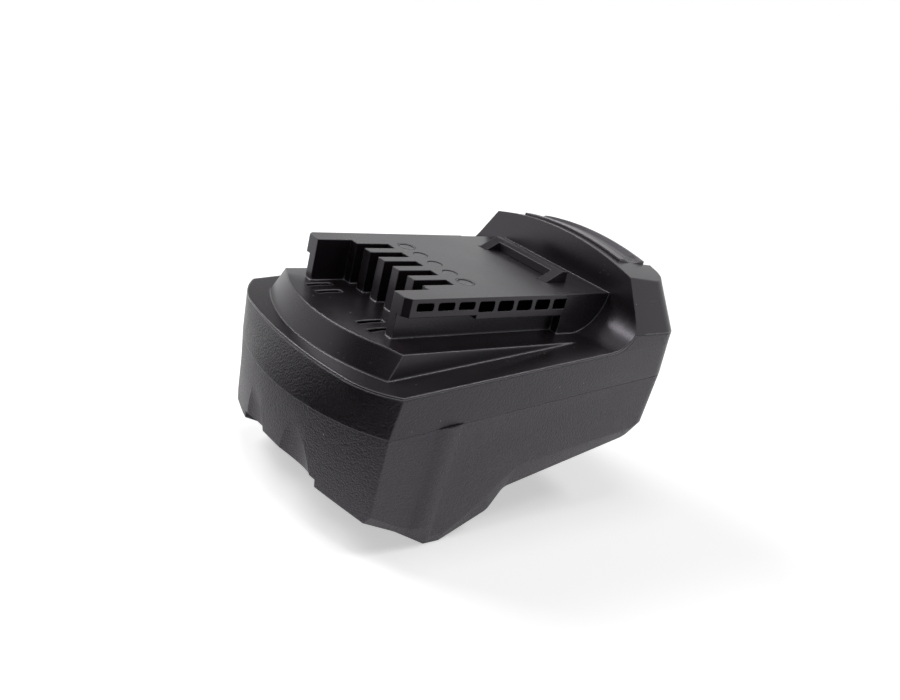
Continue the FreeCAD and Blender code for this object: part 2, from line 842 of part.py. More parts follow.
@functools.lru_cache(maxsize=None)
def lower_casing(inset):
    """The casing under the lower parting line, down to its underside."""
    sides = Part.makeLoft([foot_outline(inset, FOOT), seam_outline(inset, SEAM)], True, True)
    return sides.common(underside(inset))


@functools.lru_cache(maxsize=None)
def room(inset):
    """The space inside the casing's upper skin, for what fits inside."""
    return upper_casing(inset).common(head_section(inset)).cut(cove(inset))


def scoop(sign):
    """One of the two leaning flutes under the nose."""
    middle = (dim.scoop_half + dim.scoop_land) / 2
    half = (dim.scoop_half - dim.scoop_land) / 2
    radius = (half ** 2 + dim.scoop_depth ** 2) / (2 * dim.scoop_depth)
    wall_slope = (dim.nose_reach - dim.foot_front) / dim.foot_drop
    slope = wall_slope + dim.scoop_depth / dim.scoop_height
    lean = math.atan(slope)
    bow = middle ** 2 * dim.seam_bow_sag / dim.bow_half ** 2
    depth = dim.scoop_level + dim.nose_slope * dim.nose_reach / 4
    wall_y = -dim.nose_reach + bow + wall_slope * (depth - dim.rim_drop - dim.belt_depth - 2)
    deepest = wall_y + dim.scoop_depth
    solid = doc.addObject("Part::Cylinder", "scoop_%s" % ("left" if sign < 0 else "right"))
    solid.Radius = radius
    solid.Height = 60
    turn = Rotation(Vector(1, 0, 0), math.degrees(lean))
    base = Vector(sign * middle, deepest - radius / math.cos(lean), -depth)
    along = turn.multVec(Vector(0, 0, 1))
    solid.Placement = Placement(PLACE.Base + base - along * 30, turn)
    return solid


def nose_lift():
    """The wedge under the nose that raises its lower edge between the flutes' outer ends."""
    start = -dim.nose_reach - 10
    steep = dim.nose_slope + 0.25
    cross = dim.scoop_level - steep * dim.scoop_back
    far = 30.0
    corners = [(start, -cross - steep * (start + 16.0 + dim.scoop_back)), (start, -120.0),
               (far, -120.0), (far, -cross - steep * (far + 16.0 + dim.scoop_back))]
    return across([(-dim.scoop_half, corners), (dim.scoop_half, corners)])


def lower_housing():
    """The deep front, the sloping rear, the bosses and the flutes."""
    gap = dim.parting_gap
    outside = Part.makeLoft([foot_outline(0, FOOT), seam_outline(0, SEAM)], True, True)
    outside = outside.common(underside(0)).fuse(ridges().common(underside(0)))
    outer = formed("lower_outside", outside.cut(above_seam(gap)).cut(nose_lift()))
    inner = formed("lower_hollow", lower_casing(dim.wall))
    nose = box("nose_block", ("-scoop_half - wall", "scoop_half + wall"),
               ("-nose_reach", "-scoop_back * 2"), ("-belly_depth", "-scoop_level + scoop_height"))
    hollow = cut("lower_space", inner, [nose])
    shell = cut("lower_shell", outer, [hollow, scoop(-1), scoop(1)])
    posts = [cylinder("lower_boss_" + name, "boss_radius", "foot_drop", x, y,
                      seam_height(y) + " - foot_drop") for name, x, y in boss_places()]
    kept = common("lower_bosses", group("lower_posts", posts), formed("lower_bounds", lower_bounds()))
    tools = []
    for name, x, y in boss_places():
        shank = cylinder("screw_way_" + name, "screw_radius + snug_gap", "screw_seat + wall", x, y,
                         seam_height(y) + " - screw_seat - wall / 2")
        head = cylinder("head_way_" + name, "screw_head + snug_gap", "foot_drop", x, y,
                        seam_height(y) + " - screw_seat - foot_drop")
        tools.append(fuse("fastener_way_" + name, [shank, head]))
    return node("lower_housing", cut("lower_housing", fuse("lower_whole", [shell, kept]), tools))


def above_seam(gap):
    """All that lies over the lower parting line."""
    low = SEAM - gap
    corners = [(-60, low - dim.case_slope * 60), (140, low + dim.case_slope * 140), (140, HIGH), (-60, HIGH)]
    return across([(-60, corners), (60, corners)])


def lower_bounds():
    """The lower casing's outside, a little inside its skin, which keeps the bosses inside."""
    return lower_casing(dim.wall / 2).cut(above_seam(0))


# The latch

def sketch_of(body, name, role, corners):
    """A closed sketch on one of the body's own planes, with each corner tied to the sheet."""
    sketch = body.newObject("Sketcher::SketchObject", name)
    plane = [item for item in body.Origin.OriginFeatures if item.Role == role][0]
    sketch.AttachmentSupport = (plane, [""])
    sketch.MapMode = "FlatFace"
    count = len(corners)
    around = [Vector(10 * math.cos(2 * math.pi * step / count), 10 * math.sin(2 * math.pi * step / count), 0)
              for step in range(count)]
    for index in range(count):
        sketch.addGeometry(Part.LineSegment(around[index], around[(index + 1) % count]), False)
    for index in range(count):
        sketch.addConstraint(Sketcher.Constraint("Coincident", index, 2, (index + 1) % count, 1))
    for index, corner in enumerate(corners):
        for kind, start, text in (("DistanceX", around[index].x, corner[0]),
                                  ("DistanceY", around[index].y, corner[1])):
            number = sketch.addConstraint(Sketcher.Constraint(kind, -1, 1, index, 1, start))
            sketch.setExpression("Constraints[%d]" % number, bound(text))
    return sketch


def body_of(name):
    """An empty body, placed from the deck like every other piece."""
    return place(doc.addObject("PartDesign::Body", name), "0", "0", "0")


def pad_of(body, name, sketch, length, both=False, back=False):
    """A pad of a sketch, to one side or half to each side."""
    pad = body.newObject("PartDesign::Pad", name)
    pad.Profile = sketch
    pad.setExpression("Length", bound(length))
    pad.Midplane = both
    pad.Reversed = back
    return pad


def pocket_of(body, name, sketch, both=False, back=False):
    """A pocket through everything, to one side or to both."""
    pocket = body.newObject("PartDesign::Pocket", name)
    pocket.Profile = sketch
    pocket.Type = "ThroughAll"
    pocket.Midplane = both
    pocket.Reversed = back
    return pocket


def latch_catch():
    """The U-shaped catch, a ramp with two arms, which the full travel takes below the deck."""
    body = body_of("catch_body")
    top = "latch_travel - catch_sink"
    ramp = sketch_of(body, "catch_side", "YZ_Plane", [
        ("catch_front", "-bracket_drop"), ("catch_front + catch_length", "-bracket_drop"),
        ("catch_front + catch_length", top), ("catch_front + catch_length - wall", top),
        ("catch_front", "-disc_depth")])
    pad_of(body, "catch_pad", ramp, "2 * catch_half", both=True)
    opening = sketch_of(body, "catch_opening", "XY_Plane", [
        ("catch_arm - catch_half", "catch_front - wall"), ("catch_half - catch_arm", "catch_front - wall"),
        ("catch_half - catch_arm", "catch_front + catch_length - catch_bar"),
        ("catch_arm - catch_half", "catch_front + catch_length - catch_bar")])
    pocket_of(body, "catch_pocket", opening, both=True)
    return node("latch_catch", body)


def latch_bracket():
    """The bent bracket that joins the button to the catch, seen from the side as a Z."""
    body = body_of("bracket_body")
    web = "head_place + head_lean + wall + running_gap"
    side = sketch_of(body, "bracket_side", "YZ_Plane", [
        ("bracket_front", "-bracket_drop - bracket_plate"),
        (web + " + bracket_web", "-bracket_drop - bracket_plate"),
        (web + " + bracket_web", "bracket_top - bracket_plate"),
        ("button_front + button_length - button_skirt - snug_gap", "bracket_top - bracket_plate"),
        ("button_front + button_length - button_skirt - snug_gap", "bracket_top"),
        (web, "bracket_top"), (web, "-bracket_drop"), ("bracket_front", "-bracket_drop")])
    pad_of(body, "bracket_pad", side, "2 * bracket_half", both=True)
    return node("latch_bracket", body)


def release_button():
    """The cap over the bracket, with its front band, its hollow grip and its skirts."""
    crown = arched_bar(dim.button_half, dim.button_proud, dim.button_front, dim.button_length)
    block = formed("button_block", crown)
    low = box("button_under", ("-button_half - wall", "button_half + wall"),
              ("button_front - wall", "button_front + button_length + wall"),
              ("-belly_depth", "button_low"))
    space = box("button_space", ("-button_half + button_skirt", "button_half - button_skirt"),
                ("button_front - wall", "button_front + button_length - button_skirt"),
                ("-belly_depth", "bracket_top"))
    grip_radius = ((dim.button_length - dim.button_band - dim.grip_rear) ** 2 / 4 + dim.grip_sink ** 2) / (
        2 * dim.grip_sink)
    middle = (dim.button_front + dim.button_band + dim.button_front + dim.button_length - dim.grip_rear) / 2
    fall = dim.head_fall * (middle - dim.head_place)
    rise = dim.head_top + dim.button_proud - fall - dim.grip_sink
    sweep = grip_tool(grip_radius, middle, rise)
    whole = cut("button_cap", block, [low, space, formed("button_grip", sweep)])
    return node("release_button", whole)


def grip_tool(radius, middle, rise):
    """A round bar bent along the button's arch, which hollows out the grip."""
    bend = arch_radius() + dim.button_proud - dim.grip_sink + radius
    centre = Vector(0, middle, rise + radius - bend)
    spine = Part.Arc(centre + Vector(-bend * math.sin(0.45), 0, bend * math.cos(0.45)),
                     centre + Vector(0, 0, bend),
                     centre + Vector(bend * math.sin(0.45), 0, bend * math.cos(0.45))).toShape()
    start = spine.valueAt(spine.FirstParameter)
    along = spine.tangentAt(spine.FirstParameter)
    circle = Part.Wire([Part.Circle(start, along, radius).toShape()])
    return Part.Wire([spine]).makePipeShell([circle], True, True)


def spring(name, x):
    """One round coil that stands on the seat bar and pushes the bracket up."""
    start = -dim.seat_level
    height = dim.bracket_top - dim.bracket_plate - start - dim.spring_wire - 2 * dim.snug_gap
    turn = Part.makeHelix(height / dim.spring_turns, height, dim.spring_radius - dim.spring_wire / 2)
    ring = Part.Wire([Part.Circle(Vector(dim.spring_radius - dim.spring_wire / 2, 0, 0), Vector(0, 1, 0),
                                  dim.spring_wire / 2).toShape()])
    coil = turn.makePipeShell([ring], True, True)
    middle = dim.seat_front + dim.seat_length / 2
    coil.translate(Vector(x, middle, start + dim.spring_wire / 2 + dim.snug_gap))
    return node(name, formed(name, coil))


def spring_seat():
    """The bar under the springs, held between the two rear bosses."""
    half = "(cell_length / 2 + boss_room - boss_radius - snug_gap)"
    bar = box("seat_bar", ("-" + half, half), ("seat_front", "seat_front + seat_length"),
              ("-seat_level - seat_thick", "-seat_level"))
    bounds = formed("seat_bounds", room(dim.wall + dim.snug_gap))
    return node("spring_seat", common("spring_seat", bar, bounds))


# The cells and what holds them; along the row w runs rearwards and v runs up, square to it

ROW_COS = "(1 / sqrt(1 + row_slope ^ 2))"
ROW_ANGLE = math.degrees(math.atan(dim.row_slope))
ROW_RISE = "(cell_pitch * sqrt(3) / 2)"


def row_place(solid, x, along, up):
    """Places a solid by its distances along and above the lower row's axis line."""
    y = "last_cell + (%s) * %s - (%s) * row_slope * %s" % (along, ROW_COS, up, ROW_COS)
    z = "(%s) * row_slope * %s + (%s) * %s - last_depth" % (along, ROW_COS, up, ROW_COS)
    return place(solid, x, y, z)


def row_box(name, x, along, up, turn=0.0):
    """A box square to the sloping rows, or turned from them about the cells' axis."""
    solid = doc.addObject("Part::Box", name)
    solid.Placement = Placement(Vector(), Rotation(Vector(1, 0, 0), ROW_ANGLE + turn))
    for side, (low, high) in zip(("Length", "Width", "Height"), (x, along, up)):
        solid.setExpression(side, bound("(%s) - (%s)" % (high, low)))
    if turn:
        return solid
    return row_place(solid, x[0], along[0], up[0])


def cell_place(column, upper):
    """Where a cell's axis lies along and above the lower row."""
    along = "-(%d * cell_pitch)" % column
    return (along + " - cell_pitch / 2", ROW_RISE) if upper else (along, "0")


def cell(number, column, upper):
    """One round cell with the shallow ring round its raised end."""
    along, up = cell_place(column, upper)
    name = "cell_%02d" % number
    can = cylinder(name + "_can", "cell_radius", "cell_length", "0", "0", "0", ALONG_X)
    row_place(can, "-cell_length / 2", along, up)
    sign = -1 if column % 2 else 1
    base = "cell_length / 2 - cell_ring" if sign > 0 else "-cell_length / 2 - cell_ring"
    ring = cylinder(name + "_ring", "cell_radius - wall / 2", "2 * cell_ring", "0", "0", "0", ALONG_X)
    cap = cylinder(name + "_cap", "cell_cap", "4 * cell_ring", "0", "0", "0", ALONG_X)
    row_place(ring, base, along, up)
    row_place(cap, base + " - cell_ring", along, up)
    return node(name, cut(name, can, [cut(name + "_groove", ring, [cap])]))


def cells():
    """Two rows of cells, the upper one half a pitch ahead."""
    number = 0
    for upper in (False, True):
        for column in range(int(dim.cell_columns)):
            number += 1
            cell(number, column, upper)


def side_range(side, near, far):
    """A range of x on one side of the pack."""
    return (near, far) if side > 0 else ("-(%s)" % far, "-(%s)" % near)


def row_plate(name, side, near, far):
    """A plate as large as both rows with a rim, kept inside the casing."""
    edge = "cell_radius + carrier_rim"
    end = "-((cell_columns - 1) * cell_pitch)"
    x = side_range(side, near, far)
    lower = row_box(name + "_lower", x, (end + " - " + edge, edge), ("-" + edge.replace("+", "-"),
                                                                    ROW_RISE + " / 2"))
    upper = row_box(name + "_upper", x, (end + " - cell_pitch / 2 - " + edge, "-cell_pitch / 2 + " + edge),
                    (ROW_RISE + " / 2 - wall", ROW_RISE + " + " + edge))
    whole = fuse(name + "_whole", [lower, upper])
    inset = dim.wall + dim.snug_gap
    high = common(name + "_high", whole, formed(name + "_room", room(inset)))
    low = common(name + "_low", whole, formed(name + "_tray", lower_casing(inset)))
    return fuse(name + "_plate", [high, low])


def carrier(side, word):
    """One cell carrier, a block with ten bores."""
    name = word + "_carrier"
    plate = row_plate(name, side, "cell_length / 2 - carrier_width", "cell_length / 2")
    bores = []
    for upper in (False, True):
        for column in range(int(dim.cell_columns)):
            along, up = cell_place(column, upper)
            bore = cylinder("%s_bore_%d_%d" % (name, upper, column), "cell_radius + snug_gap",
                            "2 * carrier_width", "0", "0", "0", ALONG_X)
            x = side_range(side, "cell_length / 2 - 1.5 * carrier_width",
                           "cell_length / 2 + 0.5 * carrier_width")
            bores.append(row_place(bore, x[0], along, up))
    return node(name, cut(name, plate, bores))


def insulator(side, word):
    """The thin sheet over the weld strips."""
    near = "cell_length / 2 + strip_thick + snug_gap"
    name = word + "_insulator"
    return node(name, row_plate(name, side, near, near + " + sheet_thick"))


def strip(name, side, column, upper, turn):
    """One weld strip from a cell's middle to the next, along the row or to the row above."""
    along, up = cell_place(column, upper)
    half = "strip_width / 2"
    cos, sin = math.cos(math.radians(turn)), math.sin(math.radians(turn))
    x = side_range(side, "cell_length / 2", "cell_length / 2 + strip_thick")
    solid = row_box(name, x, ("0", "cell_pitch + strip_width"), ("0", "strip_width"), turn)
    return row_place(solid, x[0], "%s - (%.6f) * %s" % (along, cos - sin, half),
                     "%s - (%.6f) * %s" % (up, sin + cos, half))


def strip_plate(name, side, columns):
    """The strips that join one or two pairs of cells."""
    strips = [strip("%s_pair_%d" % (name, column), side, column, False, 120) for column in columns]
    if len(columns) > 1:
        strips.append(strip(name + "_link", side, columns[0], False, 180))
    return strips


def strips(side, word, pairs):
    """The weld plates of one side that join two pairs of cells each."""
    plates = []
    for first, second in pairs:
        name = "%s_strip_%d" % (word, first)
        plates.append(fuse(name, strip_plate(name, side, (first, second))))
    return node(word + "_strips", group(word + "_strips", plates))


def tab(name, side, y, low):
    """The end of a bus bar, which steps in under the plinth and ends below the control board."""
    wide = (y, y + " + bar_width")
    outer = ("cell_length / 2", "cell_length / 2 + strip_thick")
    inner = ("board_half + strip_thick", "board_half + 2 * strip_thick")
    under = "-board_drop - board_thick - strip_thick"
    step = "-tab_drop"
    return [
        box(name + "_rise", side_range(side, *outer), wide, (low, step)),
        box(name + "_step", side_range(side, inner[0], outer[1]), wide, (step + " - strip_thick", step)),
        box(name + "_neck", side_range(side, *inner), wide, (step + " - strip_thick", under)),
        box(name + "_foot", side_range(side, "board_half - wall / 2", inner[1]), wide,
            (under, under + " + strip_thick")),
    ]


def positive_busbar():
    """The last pair's strip at the front right, which rises to the board."""
    last = int(dim.cell_columns) - 1
    along, up = cell_place(last, True)
    y = "last_cell + (%s) * %s - (%s) * row_slope * %s - bar_width / 2" % (along, ROW_COS, up, ROW_COS)
    low = "(%s) * row_slope * %s + (%s) * %s - last_depth" % (along, ROW_COS, up, ROW_COS)
    pieces = strip_plate("positive_strip", 1, (last,)) + tab("positive", 1, y, low)
    return node("positive_busbar", fuse("positive_busbar", pieces))


def negative_busbar():
    """The first pair's strip at the rear left, with a bar that runs forward to the board."""
    x = side_range(-1, "cell_length / 2", "cell_length / 2 + strip_thick")
    top = ROW_RISE + " + cell_radius - carrier_rim"
    stem = row_box("negative_stem", x, ("-cell_pitch / 2 - bar_width / 2", "-cell_pitch / 2 + bar_width / 2"),
                   (ROW_RISE, top))
    bar = row_box("negative_bar", x, ("-3 * cell_pitch - bar_width / 2", "-cell_pitch / 2 + bar_width / 2"),
                  (top + " - bar_width / 2", top))
    y = "last_cell - 3 * cell_pitch * %s - (%s) * row_slope * %s - bar_width / 2" % (ROW_COS, top, ROW_COS)
    low = "-3 * cell_pitch * row_slope * %s + (%s) * %s - last_depth - bar_width / 4" % (
        ROW_COS, top, ROW_COS)
    pieces = strip_plate("negative_strip", -1, (0,)) + [stem, bar] + tab("negative", -1, y, low)
    return node("negative_busbar", fuse("negative_busbar", pieces))


def thermistor():
    """The bead that rests in the valley between two upper cells."""
    reach = "(cell_radius + bead_radius + snug_gap)"
    up = ROW_RISE + " + sqrt(%s ^ 2 - cell_pitch ^ 2 / 4)" % reach
    bead = cylinder("bead", "bead_radius", "bead_length", "0", "0", "0", ALONG_X)
    return node("thermistor", row_place(bead, "-bead_length / 2", "-3 * cell_pitch", up))


def belly_foam():
    """The block that fills the belly under the front cells, between the carriers."""
    block = row_box("foam_block", ("-foam_half", "foam_half"), ("-4.6 * cell_pitch", "-2.4 * cell_pitch"),
                    ("-belly_depth", "-cell_radius - foam_gap"))
    tray = formed("foam_tray", lower_casing(dim.wall + dim.foam_gap))
    return node("belly_foam", common("belly_foam", block, tray))


# The connector and the control board

def terminal_holder():
    """The block on the board that holds the contacts in line with the slots."""
    rear = "holder_front + holder_length"
    block = box("holder_block", ("-holder_half", "holder_half"), ("holder_front", rear),
                ("-board_drop", "-holder_top"))
    tools = []
    for index in range(int(dim.slot_count)):
        middle = slot_middle(index)
        pocket = box("holder_pocket_%d" % index,
                     (middle + " - contact_width / 2", middle + " + contact_width / 2"),
                     ("holder_front - wall", "holder_front + leaf_length + 2 * leaf_thick"),
                     ("-leaf_low - leaf_thick", "-holder_top - leaf_thick"))
        pin = box("holder_pin_%d" % index, (middle + " - 1.2 * leaf_thick", middle + " + 1.2 * leaf_thick"),
                  ("holder_front + leaf_length / 2 - snug_gap", "holder_front + leaf_length / 2 + bar_width / 2"),
                  ("-board_drop - wall", "-leaf_low"))
        tools.append(fuse("holder_way_%d" % index, [pocket, pin]))
    return node("terminal_holder", cut("terminal_holder", block, tools))


def contact(name, index):
    """One contact: two leaves with a gap for the blade, a base and a pin down to the board."""
    middle = slot_middle(index)
    inner, outer = "0.8 * leaf_thick", "1.8 * leaf_thick"
    y = ("holder_front + leaf_thick", "holder_front + leaf_length")
    z = ("-leaf_low - leaf_thick", "-leaf_low + leaf_height")
    pieces = [
        box(name + "_left", ("%s - %s" % (middle, outer), "%s - %s" % (middle, inner)), y, z),
        box(name + "_right", ("%s + %s" % (middle, inner), "%s + %s" % (middle, outer)), y, z),
        box(name + "_base", ("%s - %s" % (middle, outer), "%s + %s" % (middle, outer)), y,
            (z[0], z[0] + " + leaf_thick")),
        box(name + "_pin", (middle + " - leaf_thick", middle + " + leaf_thick"),
            ("holder_front + leaf_length / 2", "holder_front + leaf_length / 2 + bar_width / 2 - snug_gap"),
            ("-board_drop", z[0] + " + leaf_thick / 2")),
    ]
    return fuse(name, pieces)


def contacts():
    """The two outer contacts carry the current and the inner three are for signals."""
    last = int(dim.slot_count) - 1
    node("negative_contact", contact("negative_contact", 0))
    node("positive_contact", contact("positive_contact", last))
    node("signal_contacts", group("signal_contacts", [contact("signal_%d" % index, index)
                                                      for index in range(1, last)]))


def control_board():
    """The board under the plinth, with cut front corners and four screw holes."""
    body = doc.addObject("PartDesign::Body", "board_body")
    place(body, "0", "0", "-board_drop - board_thick")
    rear = "board_length - board_front"
    shape = sketch_of(body, "board_outline", "XY_Plane", [
        ("board_half", rear), ("-board_half", rear), ("-board_half", "-board_front + board_chamfer"),
        ("-board_half + board_corner", "-board_front"), ("board_half - board_corner", "-board_front"),
        ("board_half", "-board_front + board_chamfer")])
    pad_of(body, "board_pad", shape, "board_thick")
    holes = [cylinder("board_hole_" + name, "board_screw + snug_gap", "4 * board_thick", x, y,
                      "-board_drop - 2.5 * board_thick") for name, x, y in board_places()]
    return node("control_board", cut("control_board", body, holes))


def board_components():
    """The parts soldered under the board: a controller, three switches, a shunt and two capacitors."""
    under = "-board_drop - board_thick"
    pieces = [box("controller", ("-part_width", "0"), ("part_width / 2", "1.5 * part_width"),
                  (under + " - part_height / 2", under))]
    for index in range(3):
        left = "(%d - 2.5) * 1.4 * part_width" % index
        pieces.append(box("switch_%d" % index, (left, left + " + part_width"),
                          ("2.5 * part_width", "3.5 * part_width"), (under + " - part_height", under)))
    pieces.append(box("shunt", ("part_width", "2.5 * part_width"), ("2.5 * part_width", "3.2 * part_width"),
                      (under + " - part_height / 3", under)))
    for index in range(2):
        pieces.append(cylinder("capacitor_%d" % index, "part_width / 2", "2 * part_height",
                               "(1.2 + 1.1 * %d) * part_width" % index, "part_width", under
                               + " - 2 * part_height"))
    return node("board_components", group("board_components", pieces))


def screw(name, radius, head, length, height, x, y, seat):
    """One screw with its head under the seat."""
    shank = cylinder(name + "_shank", radius, length, x, y, seat)
    cap = cylinder(name + "_head", head, height, x, y, "%s - %s" % (seat, height))
    return fuse(name, [shank, cap])


def screws():
    """The four long screws of the housing and the four short ones of the board."""
    node("housing_screws", group("housing_screws", [
        screw("housing_screw_" + name, "screw_radius", "screw_head", "screw_length", "head_height", x, y,
              seam_height(y) + " - screw_seat") for name, x, y in boss_places()]))
    node("board_screws", group("board_screws", [
        screw("board_screw_" + name, "board_screw", "board_head", "board_thick + board_drop - plinth_drop - wall",
              "board_thick", x, y, "-board_drop - board_thick") for name, x, y in board_places()]))


def build():
    """All the pieces, from the outside in."""
    top_cover()
    middle_housing()
    lower_housing()
    release_button()
    latch_catch()
    latch_bracket()
    spring("left_spring", -dim.spring_half)
    spring("right_spring", dim.spring_half)
    spring_seat()
    cells()
    for side, word in ((-1, "left"), (1, "right")):
        carrier(side, word)
        insulator(side, word)
    strips(-1, "left", ((1, 2), (3, 4)))
    strips(1, "right", ((0, 1), (2, 3)))
    positive_busbar()
    negative_busbar()
    thermistor()
    belly_foam()
    terminal_holder()
    contacts()
    control_board()
    board_components()
    screws()
    doc.recompute()


def check():
    """Stops the build if any object failed or any sub-part is empty or not valid."""
    for item in doc.Objects:
        if "Invalid" in item.State or "Error" in item.State:
            raise RuntimeError("%s failed: %s" % (item.Name, item.State))
    for name, solid in nodes.items():
        if solid.Shape.isNull() or not solid.Shape.Solids or not solid.Shape.isValid():
            raise RuntimeError(name + " has no valid shape")


def export():
    """Writes each sub-part to a file under its own name."""
    os.makedirs("parts", exist_ok=True)
    for name, solid in nodes.items():
        solid.Shape.exportStep("parts/%s.step" % name)
        print(name, len(solid.Shape.Solids), "solids", round(solid.Shape.Volume, 1), "mm3")


build()
check()
export()
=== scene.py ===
# %% [markdown]
# # A slide-on battery pack for cordless tools
# The pack is three black mouldings around ten round cells: a satin top cover with two rails and a
# raised head, a textured belt, and a deep lower case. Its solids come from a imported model, which
# stays fixed here. This lesson gives those solids their finishes, rounds their edges, adds the fine
# things that a solid doesn't carry, and lights them as a small studio would.

# %% Load the fixed model
import json
import math

import bpy
import numpy as np
from mathutils import Matrix, Vector


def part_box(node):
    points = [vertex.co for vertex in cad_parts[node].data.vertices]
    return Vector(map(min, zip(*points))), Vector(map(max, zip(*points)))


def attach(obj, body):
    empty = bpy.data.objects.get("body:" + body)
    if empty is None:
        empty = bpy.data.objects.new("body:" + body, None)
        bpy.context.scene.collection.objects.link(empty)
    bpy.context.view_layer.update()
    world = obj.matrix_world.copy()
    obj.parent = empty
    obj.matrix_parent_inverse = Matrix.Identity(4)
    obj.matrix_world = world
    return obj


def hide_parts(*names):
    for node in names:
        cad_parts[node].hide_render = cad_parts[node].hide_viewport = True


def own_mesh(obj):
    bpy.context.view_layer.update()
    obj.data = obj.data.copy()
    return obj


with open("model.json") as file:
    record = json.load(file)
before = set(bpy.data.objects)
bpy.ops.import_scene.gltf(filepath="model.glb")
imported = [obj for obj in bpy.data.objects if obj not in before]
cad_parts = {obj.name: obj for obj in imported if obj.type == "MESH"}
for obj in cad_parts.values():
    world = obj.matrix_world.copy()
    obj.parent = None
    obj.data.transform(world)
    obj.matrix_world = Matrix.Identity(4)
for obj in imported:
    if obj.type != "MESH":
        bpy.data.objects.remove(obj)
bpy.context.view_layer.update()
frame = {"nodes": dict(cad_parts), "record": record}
NODES = frame["nodes"]

# %% [markdown]
# ## Places on the pack
# The deck, the flat face between the rails, is the natural place to measure from. Every place below
# is in millimetres from the middle of its front edge: x across, y towards the head, z upwards. One
# function turns such a place into the metres of the model.

# %% From millimetres on the deck to the model
DECK = Vector((0.0, -45.0, 76.4))
MM = 0.001


def at(x, y, z):
    """The model's point, in metres, for a place in millimetres from the deck's front edge."""
    return (Vector((x, y, z)) + DECK) * MM


print("deck's front edge in metres:", [round(c, 4) for c in at(0, 0, 0)])

# %% [markdown]
# ## The camera
# The photograph was taken from the front right, a little above the deck, with the pack leaning on its
# belly. The pack stays level here, so the camera is rolled instead. A camera's matrix holds its right,
# up and backward directions as columns: they are worked out from the two points and the roll.

# %% Camera
CAMERA_PLACE = at(227.149, -165.123, 86.288)
CAMERA_TARGET = at(16.955, 30.0, -22.18)
CAMERA_ROLL = math.radians(13.99)
FOCAL_LENGTH = 39.48

camera_data = bpy.data.cameras.new("camera")
camera_data.sensor_fit = "HORIZONTAL"
camera_data.sensor_width = 36.0
camera_data.lens = FOCAL_LENGTH
camera_data.clip_start = 0.01
camera_data.clip_end = 20.0
camera = bpy.data.objects.new("camera", camera_data)
bpy.context.scene.collection.objects.link(camera)

ahead = (CAMERA_TARGET - CAMERA_PLACE).normalized()
level = ahead.cross(Vector((0, 0, 1))).normalized()
upright = level.cross(ahead)
right = level * math.cos(CAMERA_ROLL) + upright * math.sin(CAMERA_ROLL)
above = upright * math.cos(CAMERA_ROLL) - level * math.sin(CAMERA_ROLL)
camera.matrix_world = Matrix.Translation(CAMERA_PLACE) @ Matrix((right, above, -ahead)).transposed().to_4x4()
bpy.context.scene.camera = camera
print("camera distance in mm:", round(1000 * (CAMERA_TARGET - CAMERA_PLACE).length, 1))

# %% [markdown]
# ## Floor, background and light
# Black plastic shows almost nothing but its reflections. Flat faces mirror the white room and floor
# to the camera, and rounded edges mirror whatever stands higher, so the lamps hang above the
# directions that the flat faces mirror: there they draw a thin bright line along every edge and leave
# the faces dark. The background is white to the camera, in gloss and through glass, and the floor
# keeps the soft shadow.

# %% Background
scene = bpy.context.scene
scene.view_settings.view_transform = "Standard"


def node_of(tree, kind, place=(0, 0), **values):
    """A node of one kind in a tree, with its settings; a value with a socket's name sets that socket."""
    made = tree.nodes.new(kind)
    made.location = place
    for name, value in values.items():
        if hasattr(made, name):
            setattr(made, name, value)
        else:
            made.inputs[name.replace("_", " ")].default_value = value
    return made


def shows_background(tree, place=(0, 0)):
    """An output that is 1 for rays that should find a white background: camera, gloss and glass."""
    paths = node_of(tree, "ShaderNodeLightPath", place)
    found = paths.outputs["Is Camera Ray"]
    for step, name in enumerate(("Is Glossy Ray", "Is Transmission Ray")):
        top = node_of(tree, "ShaderNodeMath", (place[0] + 180 * (step + 1), place[1]), operation="MAXIMUM")
        tree.links.new(found, top.inputs[0])
        tree.links.new(paths.outputs[name], top.inputs[1])
        found = top.outputs[0]
    return found


ROOM_LIGHT = 0.15

world = bpy.data.worlds.new("studio")
scene.world = world
world.use_nodes = True
tree = world.node_tree
tree.nodes.clear()
room = node_of(tree, "ShaderNodeBackground", (-300, -120), Strength=ROOM_LIGHT)
room.inputs["Color"].default_value = (1, 1, 1, 1)
backdrop = node_of(tree, "ShaderNodeBackground", (-300, 60), Strength=1.0)
backdrop.inputs["Color"].default_value = (1, 1, 1, 1)
chosen = node_of(tree, "ShaderNodeMixShader", (-100, 0))
output = node_of(tree, "ShaderNodeOutputWorld", (100, 0))
tree.links.new(shows_background(tree, (-900, 0)), chosen.inputs[0])
tree.links.new(room.outputs[0], chosen.inputs[1])
tree.links.new(backdrop.outputs[0], chosen.inputs[2])
tree.links.new(chosen.outputs[0], output.inputs["Surface"])
print("room light:", ROOM_LIGHT)


# %% Sheets
def open_sheet(name, points):
    """An open mesh over rows and columns of points, with one face between each four neighbours."""
    rows, columns = points.shape[:2]
    corner = (np.arange(rows - 1)[:, None] * columns + np.arange(columns - 1)[None, :]).ravel()
    faces = np.stack([corner, corner + 1, corner + columns + 1, corner + columns], axis=1)
    mesh = bpy.data.meshes.new(name)
    mesh.from_pydata(points.reshape(-1, 3).tolist(), [], faces.tolist())
    made = bpy.data.objects.new(name, mesh)
    bpy.context.scene.collection.objects.link(made)
    return made


def flat_sheet(name, low, high, height, cells=24):
    """A level sheet: x and y run evenly between two corners on a grid, and z is one height."""
    x, y = np.meshgrid(np.linspace(low[0], high[0], cells), np.linspace(low[1], high[1], cells))
    return open_sheet(name, np.stack([x, y, np.full(x.shape, height)], axis=2))


FLOOR_HALF = 3
floor = flat_sheet("floor", (-FLOOR_HALF, -FLOOR_HALF), (FLOOR_HALF, FLOOR_HALF), 0.0)
print("floor cells:", len(floor.data.polygons))

